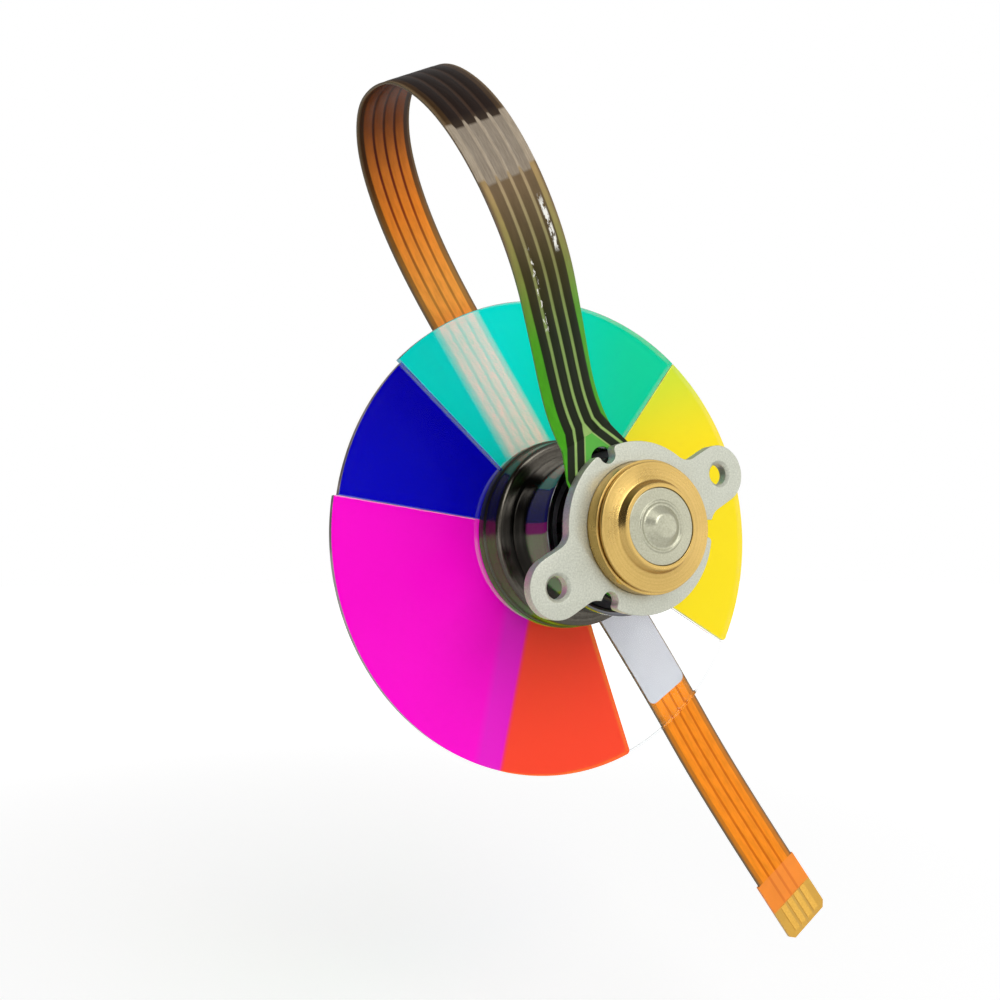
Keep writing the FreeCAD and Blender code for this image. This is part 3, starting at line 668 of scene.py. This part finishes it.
def alongCable(distance):
    # place, way across and way out of the inner side at a distance from the exit
    frames = cableFrames(cablePoints)
    index = next(step for step, travel in enumerate(cableTravel) if travel >= distance)
    low, high = cableTravel[index - 1], cableTravel[index]
    share = (distance - low) / (high - low)
    first, second = frames[index - 1], frames[index]
    return [first[part].lerp(second[part], share) for part in range(3)]


def makeLabel():
    # a plain paper strip with rounded corners, laid on the side that faces the wheel
    bm = bmesh.new()
    length = labelSet["end"] - labelSet["start"]
    half = labelSet["width"] / 2
    corners = [bm.verts.new((x, y, 0)) for x, y in
               ((0, -half), (length, -half), (length, half), (0, half))]
    bm.faces.new(corners)
    bmesh.ops.bevel(bm, geom=corners, offset=labelSet["corner"], offset_type="OFFSET", segments=6,
                    profile=0.5, affect="VERTICES", material=-1)
    for step in range(1, labelSet["steps"]):
        bmesh.ops.bisect_plane(bm, geom=bm.verts[:] + bm.edges[:] + bm.faces[:],
                               plane_co=(length * step / labelSet["steps"], 0, 0), plane_no=(1, 0, 0))
    bmesh.ops.recalc_face_normals(bm, faces=bm.faces[:])
    made = bmesh.ops.extrude_face_region(bm, geom=bm.faces[:])["geom"]
    bmesh.ops.translate(bm, verts=[vert for vert in made if isinstance(vert, bmesh.types.BMVert)],
                        vec=(0, 0, labelSet["thickness"]))
    for vert in bm.verts:
        point, across, out = alongCable(labelSet["start"] + vert.co.x)
        height = labelSet["lift"] + vert.co.z
        vert.co = point + across * (vert.co.y * mm) + out * (height * mm)
    bmesh.ops.recalc_face_normals(bm, faces=bm.faces[:])
    paper, tree, shader = newMaterial("labelPaper", Roughness=0.45, Specular_IOR_Level=0.3)
    grain = useGroup(tree, fineGrain, Place=objectPlace(tree), Fine=5000.0, Broad=260.0)
    joinSocket(tree, shader.inputs["Base Color"], blendColour(
        tree, calc(tree, "MULTIPLY", grain["Cloud"], labelSet["shadeShare"]),
        linear(*labelSet["paper"]), linear(*labelSet["shade"])))
    joinSocket(tree, shader.inputs["Normal"], bumpNode(tree, grain["Height"], 0.15, 0.02))
    return finishPiece(bm, "bareLabel", [paper], "stator", sharpAngle=40.0)


makeLabel()
print("label made")


paneSet = {
    "outer": 22.0,
    "blueOuter": 21.65,
    "inner": 7.0,
    "back": 12.5,
    "thickness": 0.7,
    "gap": 0.25,
    "bevel": 0.04,
    "cornerReach": 0.2,
    "sharpAngle": 60.0,
    "degreesPerStep": 1.0,
    "fewestSteps": 8,
    # angles between the panes, from the yellow one round to the clear one
    "joints": (-29.3, 53.1, 138.1, 172.7, 289.6, 330.7),
    "jointPaler": 1.15,
}


def coatedGlass(name, colourOf, passed):
    # the coating sends one colour back and lets the others through
    material, tree, shader = newMaterial(name, Specular_IOR_Level=0.03)
    place = objectPlace(tree)
    joinSocket(tree, shader.inputs["Base Color"], colourOf(tree, place))
    grain = useGroup(tree, fineGrain, Place=place, Fine=2500.0, Broad=90.0)
    joinSocket(tree, shader.inputs["Roughness"], rangeOf(tree, grain["Cloud"], 0.0, 1.0, 0.1, 0.16))
    clear = tree.nodes.new("ShaderNodeBsdfTransparent")
    clear.inputs[0].default_value = passed
    both = tree.nodes.new("ShaderNodeAddShader")
    tree.links.new(shader.outputs[0], both.inputs[0])
    tree.links.new(clear.outputs[0], both.inputs[1])
    tree.links.new(both.outputs[0], tree.nodes["Material Output"].inputs["Surface"])
    return material


def driftCoating(colour, tinge, way, reach):
    # one colour turns to another across the pane: a painted reflection colour, standing in for the shift
    # a dichroic coating shows with the angle it is seen at
    def make(tree, place):
        cloud = calc(tree, "MULTIPLY", calc(tree, "SUBTRACT", noise(tree, place, 60.0, 2.0), 0.5), 2.0)
        along = calc(tree, "ADD", alongWay(tree, place, way), cloud)
        share = rangeOf(tree, along, *reach, smooth=True)
        return blendColour(tree, share, linear(*colour), linear(*tinge))
    return make


redLine = {
    # the line between the two colours: the direction across it, with red on the + side, and its offset
    "way": (0.977, -0.214),
    "offset": -1.7,
    "reach": (-6.0, 2.0),
    "stops": [
        (0.0, (255, 8, 208)), (0.36, (255, 10, 208)), (0.46, (238, 34, 206)), (0.70, (236, 30, 204)),
        (0.735, (250, 58, 96)), (0.765, (254, 73, 51)), (1.0, (254, 74, 50))],
}


def magentaToRed(tree, place):
    # the coating changes from magenta over a paler band to red along a slanted line
    fromLine = calc(tree, "SUBTRACT", alongWay(tree, place, redLine["way"]), redLine["offset"])
    return colourRamp(tree, rangeOf(tree, fromLine, *redLine["reach"]), redLine["stops"])


def glassEdgeMaterial(name, dark, light):
    material, tree, shader = newMaterial(name, Roughness=0.35, Specular_IOR_Level=0.5)
    grain = useGroup(tree, fineGrain, Place=objectPlace(tree), Fine=6000.0, Broad=700.0)
    joinSocket(tree, shader.inputs["Base Color"], blendColour(
        tree, grain["Cloud"], linear(*dark), linear(*light)))
    joinSocket(tree, shader.inputs["Normal"], bumpNode(tree, grain["Height"], 0.3, 0.02))
    return material


def bareGlassMaterial():
    # the uncoated face: hardly there, with a faint film of its own
    material, tree, shader = newMaterial("bareGlassFace", Roughness=0.05, Specular_IOR_Level=0.5)
    grain = useGroup(tree, fineGrain, Place=objectPlace(tree), Fine=3000.0, Broad=80.0)
    joinSocket(tree, shader.inputs["Base Color"], blendColour(
        tree, grain["Cloud"], linear(200, 214, 214), linear(214, 224, 222)))
    joinSocket(tree, shader.inputs["Alpha"], rangeOf(tree, grain["Cloud"], 0.0, 1.0, 0.004, 0.01))
    return material


def clearGlassMaterial():
    material, tree, shader = newMaterial("clearGlass", Transmission_Weight=1.0, IOR=1.12)
    grain = useGroup(tree, fineGrain, Place=objectPlace(tree), Fine=3000.0, Broad=60.0)
    joinSocket(tree, shader.inputs["Base Color"], blendColour(
        tree, grain["Cloud"], linear(255, 255, 255), linear(252, 254, 254)))
    joinSocket(tree, shader.inputs["Roughness"], rangeOf(tree, grain["Cloud"], 0.0, 1.0, 0.0, 0.02))
    return material


def makePane(name, start, end, materials, roundCorner=None, reach=paneSet["outer"]):
    bm = bmesh.new()
    span = end - start - paneSet["gap"]
    way = outAt(start + paneSet["gap"] / 2)
    ends = [bm.verts.new(way * (radius * mm) + Vector((0, paneSet["back"] * mm, 0)))
            for radius in (paneSet["inner"], reach)]
    side = bm.edges.new(ends)
    steps = max(paneSet["fewestSteps"], round(span / paneSet["degreesPerStep"]))
    bmesh.ops.spin(bm, geom=ends + [side], cent=(0, 0, 0), axis=(0, -1, 0), angle=math.radians(span),
                   steps=steps)
    made = bmesh.ops.extrude_face_region(bm, geom=bm.faces[:])["geom"]
    bmesh.ops.translate(bm, verts=[vert for vert in made if isinstance(vert, bmesh.types.BMVert)],
                        vec=(0, paneSet["thickness"] * mm, 0))
    bmesh.ops.recalc_face_normals(bm, faces=bm.faces[:])
    if roundCorner:
        angle, radius = roundCorner
        corner = outAt(angle) * (paneSet["outer"] * mm)
        near = paneSet["cornerReach"] * mm
        chosen = [edge for edge in bm.edges
                  if all(abs(vert.co.x - corner.x) < near and abs(vert.co.z - corner.z) < near
                         for vert in edge.verts)
                  and abs(edge.verts[0].co.y - edge.verts[1].co.y) > paneSet["bevel"] * mm]
        bmesh.ops.bevel(bm, geom=chosen, offset=radius * mm, offset_type="OFFSET", segments=4,
                        profile=0.5, affect="EDGES", clamp_overlap=True, material=-1)
    rims = [edge for edge in bm.edges if edge.calc_face_angle(0.0) > math.radians(paneSet["sharpAngle"])
            and abs(edge.verts[0].co.y - edge.verts[1].co.y) < 1e-6]
    bmesh.ops.bevel(bm, geom=rims, offset=paneSet["bevel"] * mm, offset_type="OFFSET", segments=1,
                    profile=0.5, affect="EDGES", clamp_overlap=True, material=-1)
    # coated face, bare face, ground rim and the joints with the neighbours
    for face in bm.faces:
        middle = face.calc_center_median()
        radial = Vector((middle.x, 0, middle.z)).normalized()
        if abs(face.normal.y) > 0.99:
            face.material_index = 0 if face.normal.y < 0 else 1
        else:
            face.material_index = 2 if abs(face.normal.dot(radial)) > 0.5 else 3
    return finishPiece(bm, name + "_pane", materials, "rotor", [name],
                       sharpAngle=20.0)


bareGlass = bareGlassMaterial()
rimGlass = glassEdgeMaterial("groundRim", (104, 96, 92), (150, 140, 132))
panes = [
    # node, coating, colour let through, joint colour, angle and radius of a rounded corner
    ("segment_yellow", driftCoating((254, 228, 36), (208, 228, 58), (-0.3, 1.0), (4.0, 14.0)),
     (0.0, 0.0, 0.55, 1.0), (240, 226, 110), (-29.2, 0.5)),
    ("segment_cyan", driftCoating((0, 226, 212), (0, 208, 156), (1.0, 0.0), (-9.0, 10.0)),
     (0.9, 0.015, 0.015, 1.0), (110, 206, 226), None),
    ("segment_blue", driftCoating((4, 0, 186), (8, 0, 178), (0.0, 1.0), (4.0, 16.0)),
     (0.75, 0.75, 0.0, 1.0), (84, 108, 226), None),
    ("segment_magenta_red", magentaToRed,
     (0.0, 0.7, 0.02, 1.0), (206, 84, 214), (289.5, 0.5)),
]
for pane, paneStart, paneEnd in zip(panes, paneSet["joints"], paneSet["joints"][1:]):
    paneName, coating, passed, jointTone, corner = pane
    face = coatedGlass(paneName.replace("segment", "coating"), coating, passed)
    paler = [min(255, round(value * paneSet["jointPaler"])) for value in jointTone]
    jointGlass = glassEdgeMaterial(paneName.replace("segment", "joint"), jointTone, paler)
    reach = paneSet["blueOuter"] if paneName == "segment_blue" else paneSet["outer"]
    makePane(paneName, paneStart, paneEnd, [face, bareGlass, rimGlass, jointGlass], corner, reach)
clear = clearGlassMaterial()
makePane("segment_clear", *paneSet["joints"][-2:], [clear] * 4)
print("panes made")


def turnedMetal(name, light, dark, rough, marks, bump, metallic=1.0):
    # satin metal with lathe marks; light and dark are the tones between which it varies
    material, tree, shader = newMaterial(name, Metallic=metallic)
    place = objectPlace(tree)
    rings = useGroup(tree, turnedMarks, Place=place, Marks=marks)
    grain = useGroup(tree, fineGrain, Place=place, Fine=9000.0, Broad=350.0)
    tone = calc(tree, "ADD", calc(tree, "MULTIPLY", rings["Tone"], 0.6),
                calc(tree, "MULTIPLY", grain["Tone"], 0.4))
    joinSocket(tree, shader.inputs["Base Color"], blendColour(tree, tone, linear(*dark), linear(*light)))
    joinSocket(tree, shader.inputs["Roughness"], rangeOf(tree, grain["Cloud"], 0.0, 1.0, *rough))
    height = calc(tree, "ADD", rings["Height"], calc(tree, "MULTIPLY", grain["Height"], 0.5))
    joinSocket(tree, shader.inputs["Normal"], bumpNode(tree, height, bump, 0.03))
    return material


def grainyMetal(name, light, dark, rough, bump, metallic=1.0):
    material, tree, shader = newMaterial(name, Metallic=metallic)
    grain = useGroup(tree, fineGrain, Place=objectPlace(tree), Fine=7000.0, Broad=500.0)
    joinSocket(tree, shader.inputs["Base Color"], blendColour(
        tree, grain["Tone"], linear(*dark), linear(*light)))
    joinSocket(tree, shader.inputs["Roughness"], rangeOf(tree, grain["Cloud"], 0.0, 1.0, *rough))
    joinSocket(tree, shader.inputs["Normal"], bumpNode(tree, grain["Height"], bump, 0.03))
    return material


brass = turnedMetal("housingBrass", (206, 174, 107), (178, 148, 82), (0.26, 0.36), 14000.0, 0.3)
capMetal = grainyMetal("capSteel", (182, 181, 160), (158, 157, 138), (0.34, 0.42), 0.2)
bracketMetal = grainyMetal("bracketSteel", (200, 202, 188), (172, 174, 161), (0.42, 0.54), 0.4, 0.6)
# the hub and front ring's metal is far darker than bare metal: painted dark reflection of the dark
# surroundings it mirrors
hubMetal = turnedMetal("hubSatin", (98, 94, 86), (52, 49, 44), (0.16, 0.26), 9000.0, 0.2)
# the cup's mirror metal is far darker than bare steel: painted dark reflection, which also dims the
# panes it mirrors
cupMetal = turnedMetal("cupMirror", (98, 98, 102), (84, 84, 88), (0.05, 0.1), 3000.0, 0.02)
shaftMetal = turnedMetal("shaftSteel", (214, 214, 216), (196, 196, 200), (0.12, 0.2), 6000.0, 0.05)
bronze = turnedMetal("bearingBronze", (170, 130, 84), (136, 100, 62), (0.4, 0.5), 9000.0, 0.3)

housingSet = {
    "outline": [
        (3.07, -2.35, 0.04), (3.4, -2.35, 0.06), (3.68, -1.76, 0.05), (3.8, -1.7, 0.0),
        (5.15, -1.7, 0.08), (5.15, -1.4, 0.03), (5.0, -1.4, 0.0), (5.0, -1.25, 0.0),
        (5.35, -1.25, 0.05), (5.35, -0.1, 0.0), (5.3, -0.1, 0.0), (5.3, 0.1, 0.0),
        (3.98, 0.1, 0.0), (3.98, 1.0, 0.0), (2.8, 1.0, 0.0), (2.8, 7.9, 0.08),
        (1.92, 7.9, 0.0), (1.92, -1.8, 0.0), (3.07, -1.8, 0.0)],
}
turnPiece("turnedHousing", housingSet["outline"], [brass], "stator", ["bearing_housing"])

capSet = {
    "outline": [
        (0.0, -1.8, 0.0), (3.05, -1.8, 0.0), (3.05, -2.3, 0.08), (2.1, -2.3, 0.05),
        (2.02, -2.38, 0.03), (1.88, -2.38, 0.03), (1.8, -2.3, 0.05), (1.65, -2.3, 0.08),
        (0.95, -2.92, 0.14), (0.0, -2.92, 0.0)],
}
turnPiece("pressedCap", capSet["outline"], [capMetal], "stator", ["end_cap"], closed=False)

hubSet = {
    "outline": [
        (1.0, 8.2, 0.0), (2.2, 8.2, 0.0), (2.2, 9.5, 0.0), (8.45, 9.5, 0.45), (8.45, 11.45, 0.15),
        (8.7, 11.7, 0.1), (8.7, 12.5, 0.0), (6.98, 12.5, 0.0), (6.98, 13.2, 0.0), (1.0, 13.2, 0.0)],
}
turnPiece("turnedHub", hubSet["outline"], [hubMetal], "rotor", ["wheel_hub"])

cupSet = {
    "outline": [
        (6.7, 3.0, 0.05), (7.2, 3.0, 0.08), (7.2, 3.7, 0.05), (7.13, 3.78, 0.03), (7.13, 8.9, 0.3),
        (6.8, 9.5, 0.15), (2.22, 9.5, 0.0), (2.22, 9.0, 0.0), (6.7, 9.0, 0.2)],
}
turnPiece("drawnCup", cupSet["outline"], [cupMetal], "rotor", ["rotor_cup"])

ringSet = {
    "outline": [
        (4.5, 13.2, 0.0), (8.5, 13.2, 0.0), (8.5, 14.0, 0.12), (7.0, 14.0, 0.04), (7.0, 13.7, 0.03),
        (5.8, 13.7, 0.03), (5.8, 14.0, 0.04), (4.5, 14.0, 0.08)],
}
turnPiece("turnedFrontRing", ringSet["outline"], [hubMetal], "rotor", ["front_ring"])

shaftSet = {
    "outline": [
        (0.0, -1.2, 0.0), (0.7, -1.2, 0.05), (1.0, -0.9, 0.05), (1.0, -0.7, 0.0), (0.8, -0.7, 0.0),
        (0.8, -0.5, 0.0), (1.0, -0.5, 0.0), (1.0, 13.2, 0.05), (0.0, 13.2, 0.0)],
}
turnPiece("groundShaft", shaftSet["outline"], [shaftMetal], "rotor", ["rotor_shaft"],
          closed=False, steps=64)
print("turned parts made")


bracketSet = {
    "edgeRound": 0.14,
    "segments": 3,
    "earReach": 9.25,
    "earHole": 0.9,
}
earHoles = [(sideWay.x * reach, sideWay.z * reach, bracketSet["earHole"])
            for reach in (bracketSet["earReach"], -bracketSet["earReach"])]
dressNode("mounting_bracket", bracketMetal, "stator",
          bracketSet["edgeRound"], bracketSet["segments"], holes=earHoles)
print("bracket made")


neckSet = {
    "edgeRound": 0.02,
    "segments": 1,
    "shift": 0.15,
    # distance from the spin axis, from and to, then how far the two pairs of conductors part
    "parting": (8.6, 6.4, 0.35, 1.6),
    # the window between the parted pairs is green as painted light, the cyan pane seen through the film
    "window": (88, 172, 66),
    "shade": (20, 30, 10),
    "shadeShare": 0.2,
}


def neckMaterial():
    material, tree, shader = newMaterial("flexNeckFilm", Specular_IOR_Level=0.15)
    place = objectPlace(tree)
    across = calc(tree, "ADD", alongWay(tree, place, sideWay.xz), neckSet["shift"])
    parting = rangeOf(tree, alongWay(tree, place, exitWay.xz), *neckSet["parting"])
    masks = useGroup(tree, traceLayout, Across=across, Spread=parting, Half=filmLook["traceHalf"])
    # the exit's colours: near-black conductors as a painted dark reflection, green gaps and margins as
    # painted light from the cyan pane through the film
    _, trace, gap, margin = filmLook["outer"][0]
    colour = blendColour(tree, masks["Gap"], linear(*trace), linear(*gap))
    colour = blendColour(tree, masks["Margin"], colour, linear(*margin))
    colour = blendColour(tree, masks["Window"], colour, linear(*neckSet["window"]))
    grain = useGroup(tree, fineGrain, Place=place, Fine=3000.0, Broad=500.0)
    shaded = calc(tree, "MULTIPLY", grain["Cloud"], neckSet["shadeShare"])
    joinSocket(tree, shader.inputs["Base Color"], blendColour(
        tree, shaded, colour, linear(*neckSet["shade"])))
    joinSocket(tree, shader.inputs["Roughness"], rangeOf(tree, grain["Tone"], 0.0, 1.0, 0.28, 0.4))
    joinSocket(tree, shader.inputs["Normal"], bumpNode(tree, masks["Trace"], 0.4, 0.03))
    return material


dressNode("flex_base", neckMaterial(), "stator", neckSet["edgeRound"], neckSet["segments"])

tipSet = {
    "film": (248, 140, 34),
    "line": (230, 118, 14),
    "bare": (216, 166, 62),
    "bareLine": (206, 160, 68),
    "shade": (150, 90, 20),
    "shadeShare": 0.12,
    "shift": 3.5,
    # distance along the exit's direction at which the film ends
    "filmEnd": (-44.25, -44.4),
}


def tipMaterial():
    # orange film that stops short of the end, where the bare stiffener and contacts show
    material, tree, shader = newMaterial("tipFilm", Specular_IOR_Level=0.35)
    place = objectPlace(tree)
    across = calc(tree, "SUBTRACT", alongWay(tree, place, sideWay.xz), tipSet["shift"])
    masks = useGroup(tree, traceLayout, Across=across)
    film = blendColour(tree, masks["Gap"], linear(*tipSet["film"]), linear(*tipSet["line"]))
    bare = blendColour(tree, masks["Gap"], linear(*tipSet["bare"]), linear(*tipSet["bareLine"]))
    ended = rangeOf(tree, alongWay(tree, place, exitWay.xz), *tipSet["filmEnd"])
    colour = blendColour(tree, ended, film, bare)
    grain = useGroup(tree, fineGrain, Place=place, Fine=3000.0, Broad=400.0)
    shaded = calc(tree, "MULTIPLY", grain["Cloud"], tipSet["shadeShare"])
    joinSocket(tree, shader.inputs["Base Color"], blendColour(
        tree, shaded, colour, linear(*tipSet["shade"])))
    joinSocket(tree, shader.inputs["Roughness"], rangeOf(tree, grain["Tone"], 0.0, 1.0, 0.3, 0.42))
    return material


paintNode("contact_tip", tipMaterial())
contactMetal = grainyMetal("contactPlating", (226, 178, 84), (206, 158, 68), (0.3, 0.4), 0.2)
paintNode("contact_pads", contactMetal)
print("flex made")


def plainPolymer(name, light, dark, rough):
    material, tree, shader = newMaterial(name, Specular_IOR_Level=0.4)
    grain = useGroup(tree, fineGrain, Place=objectPlace(tree), Fine=5000.0, Broad=600.0)
    joinSocket(tree, shader.inputs["Base Color"], blendColour(
        tree, grain["Tone"], linear(*dark), linear(*light)))
    joinSocket(tree, shader.inputs["Roughness"], rangeOf(tree, grain["Cloud"], 0.0, 1.0, *rough))
    joinSocket(tree, shader.inputs["Normal"], bumpNode(tree, grain["Height"], 0.2, 0.02))
    return material


def windingMaterial():
    # enamelled wire laid turn beside turn
    material, tree, shader = newMaterial("windingCopper", Metallic=0.85)
    place = objectPlace(tree)
    x, _, z = split(tree, place)
    wave = tree.nodes.new("ShaderNodeTexWave")
    wave.wave_type = "RINGS"
    wave.inputs["Scale"].default_value = 2600.0
    joinSocket(tree, wave.inputs["Vector"], gather(tree, x, 0.0, z))
    joinSocket(tree, shader.inputs["Base Color"], blendColour(
        tree, wave.outputs["Fac"], linear(120, 54, 24), linear(214, 120, 66)))
    shader.inputs["Roughness"].default_value = 0.3
    joinSocket(tree, shader.inputs["Normal"], bumpNode(tree, wave.outputs["Fac"], 0.6, 0.03))
    return material


coreMetal = turnedMetal("coreLaminations", (120, 122, 126), (78, 80, 84), (0.4, 0.5), 5000.0, 0.5, 0.9)
# near-black liners: black insulation made darker still as painted shade of the gap between the cup and
# the bracket
liner = plainPolymer("linerBlackAndShade", (10, 10, 11), (4, 4, 5), (0.5, 0.6))
padWhite = plainPolymer("padPolymer", (226, 222, 206), (208, 204, 188), (0.35, 0.45))
magnet = plainPolymer("magnetDark", (58, 58, 62), (40, 40, 44), (0.5, 0.62))
copper = windingMaterial()
solder = grainyMetal("solderBright", (214, 216, 220), (190, 192, 198), (0.16, 0.28), 0.3)

for nodeName, nodeMaterial in (
        ("sleeve_bearing", bronze), ("thrust_pad", padWhite), ("stator_core", coreMetal),
        ("slot_liner_front", liner), ("slot_liner_rear", liner), ("coils_phase_u", copper),
        ("coils_phase_v", copper), ("coils_phase_w", copper), ("solder_joints", solder),
        ("magnet_ring", magnet), ("retaining_washer", shaftMetal)):
    paintNode(nodeName, nodeMaterial)
print("motor inside made")


studioSet = {
    "floorHeight": -0.062,
    "floorReach": 3.0,
    "floorTone": 0.8,
    # distance from the object in metres, from and to, then the floor's glow
    "floorGlow": (0.08, 0.5, 0.42, 0.75),
    "ambient": 0.46,
    # what metal mirrors: share of the direction along +X and +Y, from and to, then the brightness
    "mirrorSide": (-0.75, 0.4, 0.10, 1.0),
    "mirrorBehind": (-0.3, 0.5, 0.9, 0.35),
    "lamps": [
        # name, place, aim, size, power
        ("key", (-0.02, -0.54, 0.34), (0.0, 0.0, 0.0), 0.46, 2.05),
        ("fill", (0.50, -0.26, 0.02), (0.0, 0.0, 0.0), 0.70, 0.75),
        ("low", (-0.26, -0.34, -0.05), (0.0, 0.0, 0.0), 0.30, 0.25),
    ],
}


def seenDirectly(tree, path):
    # 1 for a camera ray in the open, 0 for one that has come through a coated pane
    through = rangeOf(tree, path.outputs["Transparent Depth"], 0.5, 0.6)
    return calc(tree, "MULTIPLY", path.outputs["Is Camera Ray"], calc(tree, "SUBTRACT", 1.0, through))


def makeWorld():
    world = bpy.data.worlds.new("studio")
    bpy.context.scene.world = world
    world.use_nodes = True
    tree = world.node_tree
    tree.nodes.clear()
    path = tree.nodes.new("ShaderNodeLightPath")
    way = split(tree, tree.nodes.new("ShaderNodeTexCoord").outputs["Generated"])
    # metal mirrors a white studio that is dimmer to the left and behind the wheel
    side = rangeOf(tree, way[0], *studioSet["mirrorSide"], smooth=True)
    behind = rangeOf(tree, way[1], *studioSet["mirrorBehind"], smooth=True)
    strength = blendFloat(tree, path.outputs["Is Glossy Ray"], studioSet["ambient"],
                          calc(tree, "MULTIPLY", behind, side))
    strength = blendFloat(tree, path.outputs["Is Transmission Ray"], strength, 1.0)
    strength = blendFloat(tree, path.outputs["Is Camera Ray"], strength, seenDirectly(tree, path))
    background = tree.nodes.new("ShaderNodeBackground")
    background.inputs["Color"].default_value = (1, 1, 1, 1)
    joinSocket(tree, background.inputs["Strength"], strength)
    out = tree.nodes.new("ShaderNodeOutputWorld")
    tree.links.new(background.outputs[0], out.inputs[0])


def makeFloor():
    # a white floor that keeps the object's shadow and goes dark behind a coated pane
    bm = bmesh.new()
    bmesh.ops.create_grid(bm, x_segments=4, y_segments=4, size=studioSet["floorReach"])
    bmesh.ops.translate(bm, verts=bm.verts[:], vec=(0, 0, studioSet["floorHeight"]))
    mesh = bpy.data.meshes.new("floor")
    bm.to_mesh(mesh)
    bm.free()
    material = bpy.data.materials.new("floorPaper")
    material.use_nodes = True
    tree = material.node_tree
    tree.nodes.clear()
    path = tree.nodes.new("ShaderNodeLightPath")
    shown = calc(tree, "MAXIMUM", seenDirectly(tree, path), calc(
        tree, "MAXIMUM", path.outputs["Is Glossy Ray"], path.outputs["Is Transmission Ray"]))
    length = tree.nodes.new("ShaderNodeVectorMath")
    length.operation = "LENGTH"
    joinSocket(tree, length.inputs[0], objectPlace(tree))
    lift = rangeOf(tree, length.outputs["Value"], *studioSet["floorGlow"], smooth=True)
    glow = tree.nodes.new("ShaderNodeEmission")
    glow.inputs["Color"].default_value = (1, 1, 1, 1)
    joinSocket(tree, glow.inputs["Strength"], calc(tree, "MULTIPLY", shown, lift))
    paper = tree.nodes.new("ShaderNodeBsdfDiffuse")
    lit = calc(tree, "MAXIMUM", shown, calc(tree, "SUBTRACT", 1.0, path.outputs["Is Camera Ray"]))
    tone = studioSet["floorTone"]
    joinSocket(tree, paper.inputs["Color"], blendColour(tree, lit, (0, 0, 0, 1), (tone, tone, tone, 1)))
    both = tree.nodes.new("ShaderNodeAddShader")
    tree.links.new(glow.outputs[0], both.inputs[0])
    tree.links.new(paper.outputs[0], both.inputs[1])
    out = tree.nodes.new("ShaderNodeOutputMaterial")
    tree.links.new(both.outputs[0], out.inputs["Surface"])
    mesh.materials.append(material)
    floor = bpy.data.objects.new("floor", mesh)
    bpy.context.scene.collection.objects.link(floor)


def makeLamp(name, place, aim, size, power):
    data = bpy.data.lights.new(name, "AREA")
    data.shape = "DISK"
    data.size = size
    data.energy = power
    lamp = bpy.data.objects.new(name, data)
    lamp.location = place
    lamp.rotation_mode = "QUATERNION"
    lamp.rotation_quaternion = (Vector(aim) - Vector(place)).to_track_quat("-Z", "Y")
    bpy.context.scene.collection.objects.link(lamp)


makeWorld()
makeFloor()
for lampFacts in studioSet["lamps"]:
    makeLamp(*lampFacts)
print("studio made")
